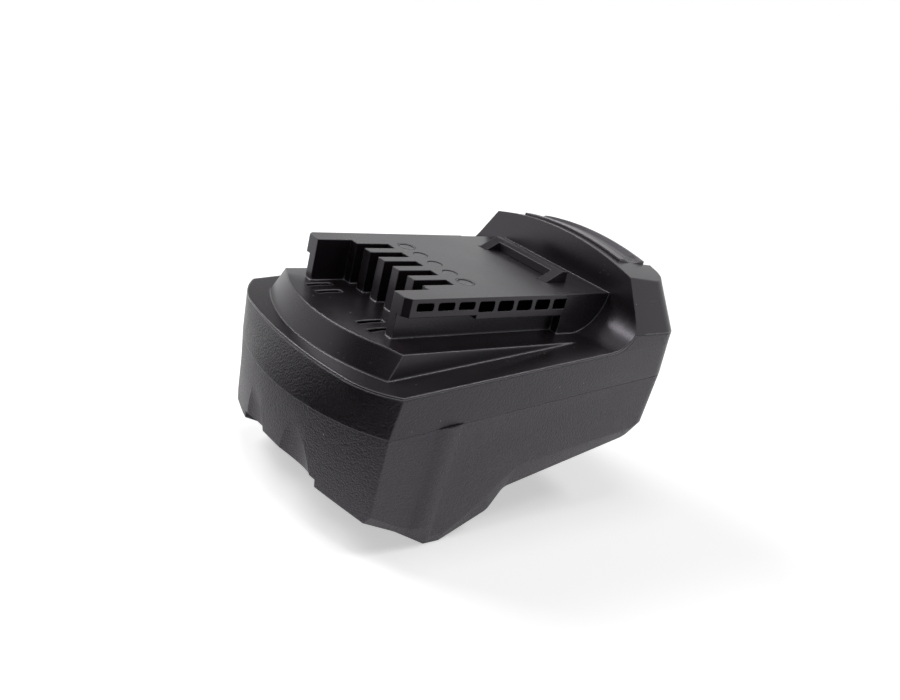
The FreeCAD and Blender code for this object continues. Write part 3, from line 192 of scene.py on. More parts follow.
# %% Floor paper
NEAR_GLOW, FAR_GLOW = 0.50, 1.0
GLOW_FROM, GLOW_TO = 0.25, 1.2
PAPER_GREY = 0.86

paper = bpy.data.materials.new("floor_paper")
paper.use_nodes = True
tree = paper.node_tree
tree.nodes.clear()
matt = node_of(tree, "ShaderNodeBsdfDiffuse", (-300, 80))
matt.inputs["Color"].default_value = (PAPER_GREY, PAPER_GREY, PAPER_GREY, 1)
spot = node_of(tree, "ShaderNodeTexCoord", (-1300, -300))
reach = node_of(tree, "ShaderNodeVectorMath", (-1100, -300), operation="LENGTH")
glow = node_of(tree, "ShaderNodeMapRange", (-900, -300), interpolation_type="SMOOTHSTEP", clamp=True)
GLOW_SOCKETS = {"From Min": GLOW_FROM, "From Max": GLOW_TO, "To Min": NEAR_GLOW, "To Max": FAR_GLOW}
for name, value in GLOW_SOCKETS.items():
    glow.inputs[name].default_value = value
strength = node_of(tree, "ShaderNodeMath", (-500, -200), operation="MULTIPLY")
white = node_of(tree, "ShaderNodeEmission", (-300, -120))
both = node_of(tree, "ShaderNodeAddShader", (60, 0))
output = node_of(tree, "ShaderNodeOutputMaterial", (240, 0))
tree.links.new(spot.outputs["Object"], reach.inputs[0])
tree.links.new(reach.outputs["Value"], glow.inputs["Value"])
tree.links.new(glow.outputs["Result"], strength.inputs[0])
tree.links.new(shows_background(tree, (-1300, -550)), strength.inputs[1])
tree.links.new(strength.outputs[0], white.inputs["Strength"])
tree.links.new(matt.outputs[0], both.inputs[0])
tree.links.new(white.outputs[0], both.inputs[1])
tree.links.new(both.outputs[0], output.inputs["Surface"])
floor.data.materials.append(paper)
print("floor glow:", NEAR_GLOW, "to", FAR_GLOW)


# %% Lamps
PACK_MIDDLE = Vector((0.0, 0.0, 0.05))


def panel(name, toward, distance, width, height, brightness):
    """A soft rectangular lamp, seen from the pack in one direction, with an even brightness."""
    data = bpy.data.lights.new(name, "AREA")
    data.shape = "RECTANGLE"
    data.size = width
    data.size_y = height
    data.energy = math.pi * brightness * width * height
    made = bpy.data.objects.new(name, data)
    bpy.context.scene.collection.objects.link(made)
    away = Vector(toward).normalized()
    made.location = PACK_MIDDLE + away * distance
    made.rotation_euler = away.to_track_quat("Z", "Y").to_euler()
    return made


panel("lamp_main", (-0.62, -0.42, 0.66), 1.0, 0.62, 0.34, 9.5)
panel("lamp_above", (0.05, -0.18, 0.98), 1.0, 0.42, 0.30, 5.0)
panel("lamp_back", (0.30, 0.50, 0.81), 1.0, 0.36, 0.24, 8.0)

# %% [markdown]
# ## A black card
# The front of the pack faces away from the white room, towards the dark side of the studio where the
# camera stands. A photographer puts a black card there, which takes the white out of the gloss of the
# faces in front. It stays out of the picture and lights nothing: only gloss sees it.


# %% Card
def bent_card(name, low, high, floor_edge, rise, cells=16):
    """A card that lies on the floor and then stands up: along its length, y runs to floor_edge and
    stays there while z climbs, so each point is one of two straight runs."""
    across = np.linspace(low[0], high[0], cells)
    lying = np.stack([np.linspace(high[1], floor_edge, cells), np.full(cells, low[2])], axis=1)
    standing = np.stack([np.full(cells, floor_edge), np.linspace(low[2], rise, cells)], axis=1)[1:]
    run = np.vstack([lying, standing])
    x = np.repeat(across[None, :], len(run), axis=0)
    points = np.stack([x, np.repeat(run[:, :1], cells, axis=1), np.repeat(run[:, 1:], cells, axis=1)], axis=2)
    return open_sheet(name, points)


def show_in_gloss_only(card, name, grey):
    """Gives a card one matt grey and hides it from the camera, the diffuse light and the shadows."""
    for hidden_from in ("visible_camera", "visible_diffuse", "visible_shadow"):
        setattr(card, hidden_from, False)
    paper = bpy.data.materials.new(name)
    paper.use_nodes = True
    tree = paper.node_tree
    tree.nodes.clear()
    matt = node_of(tree, "ShaderNodeBsdfDiffuse", (-200, 0))
    matt.inputs["Color"].default_value = (grey, grey, grey, 1)
    output = node_of(tree, "ShaderNodeOutputMaterial", (0, 0))
    tree.links.new(matt.outputs[0], output.inputs["Surface"])
    card.data.materials.append(paper)


CARD_LEFT, CARD_RIGHT, CARD_FRONT, CARD_BACK, CARD_LEVEL = -150, 330, -330, -46, -74.4
CARD_RISE = 0.26
near_corner = at(CARD_LEFT, CARD_FRONT, CARD_LEVEL)
far_corner = at(CARD_RIGHT, CARD_BACK, CARD_LEVEL)
card = bent_card("black_card", near_corner, far_corner, near_corner.y, CARD_RISE)
show_in_gloss_only(card, "card_felt", 0.01)
print("card faces:", len(card.data.polygons))

# %% [markdown]
# A second, grey card hangs high on the left. The sloping shoulder mirrors that side, and the card
# keeps it darker than the deck, which mirrors the white background lower down.


# %% Grey card
def hung_sheet(name, toward, distance, width, height, cells=8):
    """A flat sheet, square to one direction: its points are a centre plus even steps along two axes."""
    away = Vector(toward).normalized()
    side = Vector((0, 0, 1)).cross(away).normalized()
    up = away.cross(side)
    across, along = np.meshgrid(np.linspace(-0.5, 0.5, cells) * width, np.linspace(-0.5, 0.5, cells) * height)
    centre = np.array(PACK_MIDDLE + away * distance)
    return open_sheet(name, centre + across[..., None] * np.array(side) + along[..., None] * np.array(up))


grey_card = hung_sheet("grey_card", (-0.76, 0.16, 0.60), 0.8, 0.50, 0.36)
show_in_gloss_only(grey_card, "card_grey", 0.18)
print("grey card at:", [round(c, 2) for c in grey_card.bound_box[0]])

# %% [markdown]
# ## Effects that several finishes share
# Moulded plastic isn't one even black. A spark-eroded mould leaves a fine pebbled grain, here with
# painted shade in its hollows. Handling wears the edges, a painted highlight runs along them, and dust
# settles on every face. Each of these effects is a node group that is built once, with its scale and
# strength as inputs, so that a finish only says how much of it it has.


# %% Small helpers for nodes
class Nodes:
    """Short ways to add sums and ramps to self.tree; each kind of tree has its own add."""

    def maths(self, operation, first, second=None, third=None, clamp=False, **where):
        """A Math node; each term is a number or another node's output."""
        step = self.add("ShaderNodeMath", operation=operation, use_clamp=clamp, **where)
        for slot, term in enumerate((first, second, third)):
            if term is None:
                continue
            if isinstance(term, (int, float)):
                step.inputs[slot].default_value = term
            else:
                self.tree.links.new(term, step.inputs[slot])
        return step.outputs[0]

    def ramp(self, value, low, high, **where):
        """A smooth rise from 0 at low to 1 at high."""
        step = self.add("ShaderNodeMapRange", interpolation_type="SMOOTHSTEP", clamp=True, **where)
        self.tree.links.new(value, step.inputs["Value"])
        step.inputs["From Min"].default_value = low
        step.inputs["From Max"].default_value = high
        return step.outputs["Result"]


class Group(Nodes):
    """A shader node group in the making: its sockets, its nodes, and short ways to join them."""

    def __init__(self, name, inputs, outputs):
        self.tree = bpy.data.node_groups.new(name, "ShaderNodeTree")
        for label, kind, value in inputs:
            socket = self.tree.interface.new_socket(label, in_out="INPUT", socket_type=kind)
            if value is not None:
                socket.default_value = value
        for label, kind in outputs:
            self.tree.interface.new_socket(label, in_out="OUTPUT", socket_type=kind)
        self.given = self.tree.nodes.new("NodeGroupInput")
        self.made = self.tree.nodes.new("NodeGroupOutput")
        self.given.location = (-1200, 0)
        self.made.location = (900, 0)

    def add(self, kind, place=(0, 0), **values):
        return node_of(self.tree, kind, place, **values)

    def join(self, source, target):
        self.tree.links.new(source, target)


FLOAT, VECTOR = "NodeSocketFloat", "NodeSocketVector"

# %% [markdown]
# ### Spark-eroded grain
# The belt and the lower case have a leathery grain of soft pebbles about half a millimetre apart. Two
# noises of different size give it, and a slow third one varies it, which costs less than a mesh that is
# truly displaced and keeps its size when the pack grows. The group gives a height for a bump, a
# multiplier for the colour, which is painted shade darker in the hollows with a slow random change on
# top, and a roughness that follows them.

# %% Grain
grain = Group(
    "spark_grain",
    [("Pitch mm", FLOAT, 0.5), ("Softness", FLOAT, 0.5)],
    [("Height", FLOAT), ("Shade_and_mottle", FLOAT), ("Roughness", FLOAT)],
)
spot = grain.add("ShaderNodeTexCoord", (-1200, 300))
per_metre = grain.maths("DIVIDE", 1000.0, grain.given.outputs["Pitch mm"], place=(-1000, 0))
pebbles = grain.add("ShaderNodeTexVoronoi", (-600, 200), feature="SMOOTH_F1")
pebbles.inputs["Randomness"].default_value = 1.0
grain.join(spot.outputs["Object"], pebbles.inputs["Vector"])
grain.join(per_metre, pebbles.inputs["Scale"])
grain.join(grain.given.outputs["Softness"], pebbles.inputs["Smoothness"])
fine = grain.add("ShaderNodeTexNoise", (-600, -150), Detail=3.0, Roughness=0.6)
grain.join(spot.outputs["Object"], fine.inputs["Vector"])
grain.join(grain.maths("MULTIPLY", per_metre, 1.7, place=(-800, -150)), fine.inputs["Scale"])
slow = grain.add("ShaderNodeTexNoise", (-600, -450), Scale=55.0, Detail=2.0, Roughness=0.5)
grain.join(spot.outputs["Object"], slow.inputs["Vector"])
tall = grain.maths("SUBTRACT", 1.0, pebbles.outputs["Distance"], place=(-400, 200))
mixed = grain.maths("MULTIPLY_ADD", fine.outputs[0], 0.7, tall, place=(-200, 100))
grain.join(mixed, grain.made.inputs["Height"])
# Painted shade: the colour is darker where the grain is low, in its hollows; a slow noise adds a random
# change.
shade_and_mottle = grain.maths("MULTIPLY_ADD", mixed, 0.90, 0.05, place=(100, 0))
shade_and_mottle = grain.maths("MULTIPLY_ADD", slow.outputs[0], 0.12, shade_and_mottle, place=(300, 0))
grain.join(shade_and_mottle, grain.made.inputs["Shade_and_mottle"])
rough = grain.maths("MULTIPLY_ADD", fine.outputs[0], -0.16, 0.08, place=(100, -250))
rough = grain.maths("MULTIPLY_ADD", slow.outputs[0], 0.10, rough, place=(300, -250))
grain.join(rough, grain.made.inputs["Roughness"])
print("grain nodes:", len(grain.tree.nodes))

# %% [markdown]
# ### Rounded, worn edges with a painted highlight
# A moulded edge is never sharp: it has a radius of a few tenths of a millimetre, and fingers wear it.
# The Bevel node gives the normal that such an edge would have. Where that normal leaves the face's
# own, there is an edge, and that difference is the mask for wear and for a painted highlight, a
# lighter grey band along every edge.

# %% Edges
edges = Group(
    "moulded_edge",
    [("Wear", FLOAT, 0.5), ("Breakup", FLOAT, 400.0), ("Radius mm", FLOAT, 0.5)],
    [("Normal", VECTOR), ("Mask", FLOAT), ("Line", FLOAT)],
)
rounded = edges.add("ShaderNodeBevel", (-800, 200), samples=8)
radius = edges.maths("MULTIPLY", edges.given.outputs["Radius mm"], MM, place=(-1000, 200))
edges.join(radius, rounded.inputs["Radius"])
own = edges.add("ShaderNodeNewGeometry", (-800, -100))
facing = edges.add("ShaderNodeVectorMath", (-500, 100), operation="DOT_PRODUCT")
edges.join(rounded.outputs[0], facing.inputs[0])
edges.join(own.outputs["Normal"], facing.inputs[1])
turned = edges.maths("SUBTRACT", 1.0, facing.outputs["Value"], place=(-300, 100))
mask = edges.ramp(turned, 0.02, 0.25, place=(-100, 100))
spot = edges.add("ShaderNodeTexCoord", (-1000, -350))
chips = edges.add("ShaderNodeTexNoise", (-700, -350), Detail=4.0, Roughness=0.65)
edges.join(spot.outputs["Object"], chips.inputs["Vector"])
edges.join(edges.given.outputs["Breakup"], chips.inputs["Scale"])
broken = edges.ramp(chips.outputs[0], 0.35, 0.70, place=(-400, -350))
worn = edges.maths("MULTIPLY", mask, broken, place=(100, -100))
worn = edges.maths("MULTIPLY", worn, edges.given.outputs["Wear"], place=(300, -100), clamp=True)
edges.join(edges.ramp(turned, 0.07, 0.26, place=(-100, 350)), edges.made.inputs["Line"])
edges.join(rounded.outputs[0], edges.made.inputs["Normal"])
edges.join(worn, edges.made.inputs["Mask"])
print("edge nodes:", len(edges.tree.nodes))

# %% [markdown]
# ### Dust and specks
# Under studio light a black pack shows pale specks. A cell noise gives each cell a random number, and
# only the few cells with a low number get a small round speck.

# %% Specks
specks = Group(
    "dust_specks",
    [("Spacing mm", FLOAT, 2.4), ("Share", FLOAT, 0.06), ("Size", FLOAT, 0.07)],
    [("Mask", FLOAT), ("Haze", FLOAT)],
)
spot = specks.add("ShaderNodeTexCoord", (-1200, 300))
per_metre = specks.maths("DIVIDE", 1000.0, specks.given.outputs["Spacing mm"], place=(-1000, 0))
cells = specks.add("ShaderNodeTexVoronoi", (-700, 200), feature="F1")
specks.join(spot.outputs["Object"], cells.inputs["Vector"])
specks.join(per_metre, cells.inputs["Scale"])
number = specks.add("ShaderNodeSeparateColor", (-500, 0))
specks.join(cells.outputs["Color"], number.inputs[0])
near = specks.maths("LESS_THAN", cells.outputs["Distance"], specks.given.outputs["Size"], place=(-300, 200))
few = specks.maths("LESS_THAN", number.outputs[0], specks.given.outputs["Share"], place=(-300, 0))
shown = specks.maths("MULTIPLY", near, few, place=(-100, 100))
specks.join(shown, specks.made.inputs["Mask"])
cloud = specks.add("ShaderNodeTexNoise", (-700, -300), Scale=38.0, Detail=5.0, Roughness=0.6)
specks.join(spot.outputs["Object"], cloud.inputs["Vector"])
specks.join(specks.ramp(cloud.outputs[0], 0.45, 0.75, place=(-300, -300)), specks.made.inputs["Haze"])
print("speck nodes:", len(specks.tree.nodes))

# %% [markdown]
# ### Scratches
# Sliding a pack in and out of a tool leaves fine lines along the slide. A noise that is stretched
# along y and cut off near its top gives a few thin, long marks.

# %% Scratches
scratches = Group(
    "slide_scratches",
    [("Amount", FLOAT, 0.5), ("Across", FLOAT, 900.0)],
    [("Mask", FLOAT)],
)
spot = scratches.add("ShaderNodeTexCoord", (-1200, 0))
stretched = scratches.add("ShaderNodeMapping", (-950, 0))
stretched.inputs["Scale"].default_value = (1.0, 0.03, 1.0)
stretched.inputs["Rotation"].default_value = (0.0, 0.0, math.radians(4))
scratches.join(spot.outputs["Object"], stretched.inputs["Vector"])
lines = scratches.add("ShaderNodeTexNoise", (-700, 0), Detail=2.0, Roughness=0.5)
scratches.join(stretched.outputs[0], lines.inputs["Vector"])
scratches.join(scratches.given.outputs["Across"], lines.inputs["Scale"])
patches = scratches.add("ShaderNodeTexNoise", (-700, -300), Scale=45.0, Detail=2.0)
scratches.join(spot.outputs["Object"], patches.inputs["Vector"])
thin = scratches.ramp(lines.outputs[0], 0.66, 0.74, place=(-400, 0))
where = scratches.ramp(patches.outputs[0], 0.48, 0.66, place=(-400, -300))
found = scratches.maths("MULTIPLY", thin, where, place=(-200, -100))
found = scratches.maths("MULTIPLY", found, scratches.given.outputs["Amount"], place=(0, -100), clamp=True)
scratches.join(found, scratches.made.inputs["Mask"])
print("scratch nodes:", len(scratches.tree.nodes))

# %% [markdown]
# ## Finishes
# Each finish is a Principled shader with its own numbers on its sockets. The groups above only change
# its colour, roughness and normal from place to place.


# %% A finish in the making
class Finish(Nodes):
    """A material in the making: its shader, its nodes, and short ways to mix into its sockets."""

    def __init__(self, name, colour, roughness, metallic=0.0, specular=0.5):
        self.material = bpy.data.materials.new(name)
        self.material.use_nodes = True
        self.tree = self.material.node_tree
        self.shader = self.tree.nodes["Principled BSDF"]
        self.shader.inputs["Metallic"].default_value = metallic
        self.shader.inputs["Specular IOR Level"].default_value = specular
        self.shader.inputs["Base Color"].default_value = (*colour, 1)
        self.shader.inputs["Roughness"].default_value = roughness
        self.colour = (*colour, 1)
        self.roughness = roughness
        self.column = -1400
        self.normal = None

    def add(self, kind, **values):
        self.column += 40
        return node_of(self.tree, kind, (self.column, 300), **values)

    def group(self, made, **values):
        """A shared effect in this material, with its own values."""
        placed = self.add("ShaderNodeGroup")
        placed.node_tree = made.tree
        for name, value in values.items():
            placed.inputs[name.replace("_", " ")].default_value = value
        return placed

    def tint(self, mask, colour, blend="MIX"):
        """Mixes a colour over what is there, where the mask is."""
        step = self.add("ShaderNodeMix", data_type="RGBA", blend_type=blend)
        if isinstance(mask, (int, float)):
            step.inputs[0].default_value = mask
        else:
            self.tree.links.new(mask, step.inputs[0])
        if isinstance(self.colour, tuple):
            step.inputs[6].default_value = self.colour
        else:
            self.tree.links.new(self.colour, step.inputs[6])
        if isinstance(colour, tuple):
            step.inputs[7].default_value = (*colour[:3], 1)
        else:
            self.tree.links.new(colour, step.inputs[7])
        self.colour = step.outputs[2]

    def shade(self, shade_and_mottle):
        """Multiplies the colour by a lightness: here the grain's painted shade in its hollows, with a slow
        random change.
        """
        step = self.add("ShaderNodeCombineColor")
        for slot in range(3):
            self.tree.links.new(shade_and_mottle, step.inputs[slot])
        self.tint(1.0, step.outputs[0], "MULTIPLY")

    def roughen(self, change, share=1.0):
        """Adds a share of a changing value to the roughness."""
        step = self.add("ShaderNodeMath", operation="MULTIPLY_ADD")
        self.tree.links.new(change, step.inputs[0])
        step.inputs[1].default_value = share
        if isinstance(self.roughness, (int, float)):
            step.inputs[2].default_value = self.roughness
        else:
            self.tree.links.new(self.roughness, step.inputs[2])
        self.roughness = step.outputs[0]

    def bump(self, height, depth_mm, strength=1.0):
        """A bump of a real depth, over whatever normal is there already."""
        step = self.add("ShaderNodeBump")
        step.inputs["Strength"].default_value = strength
        step.inputs["Distance"].default_value = depth_mm * MM
        self.tree.links.new(height, step.inputs["Height"])
        if self.normal is not None:
            self.tree.links.new(self.normal, step.inputs["Normal"])
        self.normal = step.outputs["Normal"]

    def done(self):
        """Joins the last colour, roughness and normal to the shader and gives the material back."""
        if not isinstance(self.colour, tuple):
            self.tree.links.new(self.colour, self.shader.inputs["Base Color"])
        if not isinstance(self.roughness, (int, float)):
            self.tree.links.new(self.roughness, self.shader.inputs["Roughness"])
        if self.normal is not None:
            self.tree.links.new(self.normal, self.shader.inputs["Normal"])
        return self.material


def place_of(finish):
    """Three outputs: x, y and z in millimetres from the deck's front edge."""
    spot = finish.add("ShaderNodeTexCoord")
    moved = finish.add("ShaderNodeMapping")
    moved.inputs["Scale"].default_value = (1000, 1000, 1000)
    moved.inputs["Location"].default_value = tuple(-DECK)
    finish.tree.links.new(spot.outputs["Object"], moved.inputs["Vector"])
    parts = finish.add("ShaderNodeSeparateXYZ")
    finish.tree.links.new(moved.outputs[0], parts.inputs[0])
    return parts.outputs


# %% Black mouldings
EDGE_HIGHLIGHT_GREY = (0.110, 0.106, 0.114)
HAZE, DUST, SCRATCH = (0.30, 0.29, 0.30), (0.35, 0.34, 0.34), (0.16, 0.155, 0.16)
COOL_GLOSS = (0.95, 0.89, 1.0, 1)


def moulding(name, colour, roughness, pitch, depth, wear=0.5, dust=0.06, scratched=0.0,
             radius=0.5, edge_highlight=0.5, gloss=0.5):
    """A black moulded plastic: grain of a pitch and depth in mm with painted shade in its hollows, worn edges
    with a painted highlight, dust and scratches.
    """
    made = Finish(name, colour, roughness, specular=gloss)
    made.shader.inputs["Specular Tint"].default_value = COOL_GLOSS
    pebbled = made.group(grain, Pitch_mm=pitch, Softness=0.6)
    handled = made.group(edges, Wear=wear, Radius_mm=radius)
    made.handled = handled
    dusty = made.group(specks, Share=dust)
    # Painted shade: the grain darkens the colour in its hollows, with a slow random change on top.
    made.shade(pebbled.outputs["Shade_and_mottle"])
    made.roughen(pebbled.outputs["Roughness"], 0.8)
    # Painted highlight: a lighter grey band along every rounded edge.
    made.tint(made.maths("MULTIPLY", handled.outputs["Line"], edge_highlight), EDGE_HIGHLIGHT_GREY)
    made.tint(made.maths("MULTIPLY", handled.outputs["Mask"], 0.5), tuple(5 * c for c in colour))
    made.roughen(handled.outputs["Mask"], -0.10)
    made.tint(made.maths("MULTIPLY", dusty.outputs["Haze"], 0.008), HAZE)
    made.tint(dusty.outputs["Mask"], DUST)
    if scratched:
        lined = made.group(scratches, Amount=scratched)
        made.tint(made.maths("MULTIPLY", lined.outputs["Mask"], 0.4), SCRATCH)
        made.roughen(lined.outputs["Mask"], 0.15)
    made.normal = handled.outputs["Normal"]
    made.bump(pebbled.outputs["Height"], depth)
    return made


BLACK = (0.0085, 0.0064, 0.0078)
CASE_BLACK = (0.0260, 0.0223, 0.0260)
INNER_BLACK = (0.018, 0.017, 0.019)

belt_plastic = moulding("belt_plastic", BLACK, 0.34, 0.62, 0.10, radius=0.8).done()
case_plastic = moulding("case_plastic", CASE_BLACK, 0.43, 0.58, 0.20, radius=0.7, edge_highlight=0.35, gloss=0.57)
case_plastic = case_plastic.done()
catch_plastic = moulding("catch_plastic", BLACK, 0.28, 0.35, 0.005, scratched=0.8, radius=0.35, edge_highlight=0.15)
catch_plastic = catch_plastic.done()
inner_plastic = moulding("inner_plastic", INNER_BLACK, 0.50, 0.40, 0.010, wear=0.2, dust=0.0).done()
print("mouldings:", [m.name for m in bpy.data.materials if m.name.endswith("plastic")])

# %% [markdown]
# ### The cover
# The cover has the smoothest black. Its large outer edges have a bigger radius than its small ribs and a
# brighter painted highlight, its five round marks, left by the mould's pins, are a little dished, and
# the pockets in its flanges have painted shade: a near-black colour that gives almost no light back.
# Each of these has a place on the pack, so each is a mask worked out from x, y and z in millimetres.
# The far wall of each round mark has painted shade, placed as the photograph sees it. That crescent is
# only colour, so it is right from the front right alone.

# %% Cover: large and small radii, and a painted highlight on the large edges
cover_plastic = moulding("cover_plastic", BLACK, 0.25, 0.35, 0.004, scratched=0.6, edge_highlight=0.4, gloss=0.46)
x, y, z = place_of(cover_plastic)
SMALL_RADIUS, LARGE_RADIUS = 0.40, 1.0
SHOULDER_TOP, HEAD_REAR = (-13.0, -11.5), (86.0, 88.0)
LONG_EDGE_HIGHLIGHT = (0.250, 0.242, 0.258)
SHADE_BLACK = (0.0020, 0.0018, 0.0020)
low = cover_plastic.maths("SUBTRACT", 1.0, cover_plastic.ramp(z, *SHOULDER_TOP))
rear = cover_plastic.ramp(y, *HEAD_REAR)
outer = cover_plastic.maths("MAXIMUM", low, rear)
radius = cover_plastic.maths("MULTIPLY_ADD", outer, LARGE_RADIUS - SMALL_RADIUS, SMALL_RADIUS)
cover_plastic.tree.links.new(radius, cover_plastic.handled.inputs["Radius mm"])
# Painted highlight: a brighter band along the cover's large outer edges.
long_edge_highlight = cover_plastic.maths("MULTIPLY", cover_plastic.handled.outputs["Line"], outer)
cover_plastic.tint(long_edge_highlight, LONG_EDGE_HIGHLIGHT)
print("radii in mm:", SMALL_RADIUS, LARGE_RADIUS)

# %% Cover: painted shade in the flange pockets
out = cover_plastic.maths("ABSOLUTE", x)
POCKET = ((out, 25.5, 27.7), (y, 3.5, 64.0), (z, -4.95, -1.25))
pocket_shade = 1.0
for across, least, most in POCKET:
    above_least = cover_plastic.maths("GREATER_THAN", across, least)
    under_most = cover_plastic.maths("LESS_THAN", across, most)
    pocket_shade = cover_plastic.maths("MULTIPLY", cover_plastic.maths("MULTIPLY", above_least, under_most), pocket_shade)
# Painted shade: the flange pockets get a near-black colour and a high roughness.
cover_plastic.tint(pocket_shade, SHADE_BLACK)
cover_plastic.roughen(pocket_shade, 0.7)
print("pocket limits in mm:", [pair[1:] for pair in POCKET])

# %% Cover: dished marks, with painted shade on their far walls
PIN_PITCH, PIN_PLACE, PIN_RADIUS, PIN_DEPTH = 7.87, 30.5, 2.5, 0.35
DISH_BLUR, NEAR_BLUR, WALL_BLUR = 0.7, 0.3, 0.15
WALL_ASIDE, WALL_AHEAD = 0.8, -0.6
along = cover_plastic.maths("WRAP", x, PIN_PITCH / 2, -PIN_PITCH / 2)
row = cover_plastic.maths("LESS_THAN", out, 2.5 * PIN_PITCH)


def round_mark(blur, aside=0.0, ahead=0.0):
    """1 inside each round mark and 0 outside it; the marks can be moved along x and y, in mm."""
    across = cover_plastic.maths("SUBTRACT", along, aside)
    from_row = cover_plastic.maths("SUBTRACT", y, PIN_PLACE + ahead)
    squares = [cover_plastic.maths("POWER", side, 2.0) for side in (across, from_row)]
    from_middle = cover_plastic.maths("SQRT", cover_plastic.maths("ADD", *squares))
    outside = cover_plastic.ramp(from_middle, PIN_RADIUS - blur, PIN_RADIUS)
    return cover_plastic.maths("MULTIPLY", cover_plastic.maths("SUBTRACT", 1.0, outside), row)


dish = round_mark(DISH_BLUR)
nearer = cover_plastic.maths("SUBTRACT", 1.0, round_mark(NEAR_BLUR, WALL_ASIDE, WALL_AHEAD))
# Painted shade: a near-black crescent on the far wall of each round mark.
far_wall_shade = cover_plastic.maths("MULTIPLY", round_mark(WALL_BLUR), nearer)
cover_plastic.tint(far_wall_shade, SHADE_BLACK)
cover_plastic.roughen(far_wall_shade, 0.5)
# Painted shade: where the pockets and crescents are, the cover becomes a near-black metal and gives back
# almost no light.
unlit = cover_plastic.maths("MAXIMUM", pocket_shade, far_wall_shade)
cover_plastic.tree.links.new(unlit, cover_plastic.shader.inputs["Metallic"])
cover_plastic.bump(cover_plastic.maths("MULTIPLY", dish, -1.0), PIN_DEPTH)
cover_plastic = cover_plastic.done()
print("pin marks every mm:", PIN_PITCH)

# %% [markdown]
# ### The release button
# A thumb pulls in the hollow behind the button's front band. The solid has the band and a level
# hollow, and a bump makes that hollow a smooth trough: its height falls as a sine from the band to
# the rear lip, and fades out before the two ends.

# %% Button: hollow grip
BUTTON_BLACK = (0.0150, 0.0135, 0.0150)
button_plastic = moulding("button_plastic", BUTTON_BLACK, 0.33, 0.35, 0.004, scratched=0.3, gloss=1.0)
x, y, z = place_of(button_plastic)
GRIP_FRONT, GRIP_REAR, GRIP_HALF, GRIP_FADE, GRIP_DEPTH = 91.0, 99.6, 23.5, 4.0, 1.3
share = button_plastic.add("ShaderNodeMapRange", clamp=True)
button_plastic.tree.links.new(y, share.inputs["Value"])
share.inputs["From Min"].default_value = GRIP_FRONT
share.inputs["From Max"].default_value = GRIP_REAR
share.inputs["To Max"].default_value = math.pi
trough = button_plastic.maths("SINE", share.outputs["Result"])
ends = button_plastic.ramp(button_plastic.maths("ABSOLUTE", x), GRIP_HALF - GRIP_FADE, GRIP_HALF)
trough = button_plastic.maths("MULTIPLY", trough, button_plastic.maths("SUBTRACT", 1.0, ends))
button_plastic.bump(button_plastic.maths("MULTIPLY", trough, -1.0), GRIP_DEPTH)
button_plastic = button_plastic.done()
print("grip from mm:", GRIP_FRONT, "to", GRIP_REAR)


# %% [markdown]
# ### Metals
# The springs are drawn steel wire, the weld strips are rolled nickel with faint lines along the roll,
# the contacts are bright plated copper, and the screws are zinc-plated. A metal's colour is its
# reflection, so these differ in tint, in roughness and in the direction of their fine lines.

# %% Metals
def metal(name, colour, roughness, lines=(1.0, 1.0, 1.0), tarnish=(0.2, 0.15, 0.1), amount=0.2):
    """A metal with fine lines: a noise stretched by the three numbers, and slow patches of tarnish."""
    made = Finish(name, colour, roughness, metallic=1.0)
    spot = made.add("ShaderNodeTexCoord")
    stretched = made.add("ShaderNodeMapping")
    stretched.inputs["Scale"].default_value = lines
    made.tree.links.new(spot.outputs["Object"], stretched.inputs["Vector"])
    fine = made.add("ShaderNodeTexNoise", Scale=2600.0, Detail=3.0, Roughness=0.6)
    made.tree.links.new(stretched.outputs[0], fine.inputs["Vector"])
    slow = made.add("ShaderNodeTexNoise", Scale=160.0, Detail=4.0, Roughness=0.6)
    made.tree.links.new(spot.outputs["Object"], slow.inputs["Vector"])
    patches = made.ramp(slow.outputs[0], 0.45, 0.75)
    handled = made.group(edges, Wear=0.6, Breakup=900.0)
    made.tint(made.maths("MULTIPLY", patches, amount), tarnish)
    made.tint(made.maths("MULTIPLY", handled.outputs["Mask"], 0.4), tuple(min(1, 1.2 * c) for c in colour))
    made.roughen(fine.outputs[0], 0.14)
    made.roughen(patches, 0.12)
    made.normal = handled.outputs["Normal"]
    made.bump(fine.outputs[0], 0.004)
    return made.done()


spring_steel = metal("spring_steel", (0.50, 0.51, 0.53), 0.22, (1.0, 1.0, 0.2), (0.16, 0.14, 0.12), 0.3)
nickel = metal("nickel", (0.66, 0.64, 0.60), 0.28, (1.0, 0.04, 1.0), (0.35, 0.31, 0.26), 0.3)
contact_metal = metal("contact_metal", (0.80, 0.56, 0.32), 0.20, (1.0, 0.05, 1.0), (0.38, 0.20, 0.10), 0.35)
screw_steel = metal("screw_steel", (0.42, 0.42, 0.44), 0.30, (1.0, 1.0, 1.0), (0.15, 0.14, 0.13), 0.3)
print("metals:", spring_steel.name, nickel.name, contact_metal.name, screw_steel.name)

# %% [markdown]
# ### Cell sleeves
# Every cell lies across the pack in a shrunk sleeve, with its bare steel ends at the two sides. The
# sleeve is a coloured film that is a little wavy. The steel shows beyond the sleeve's two ends, so
# the distance from the middle, along x, decides between the two.

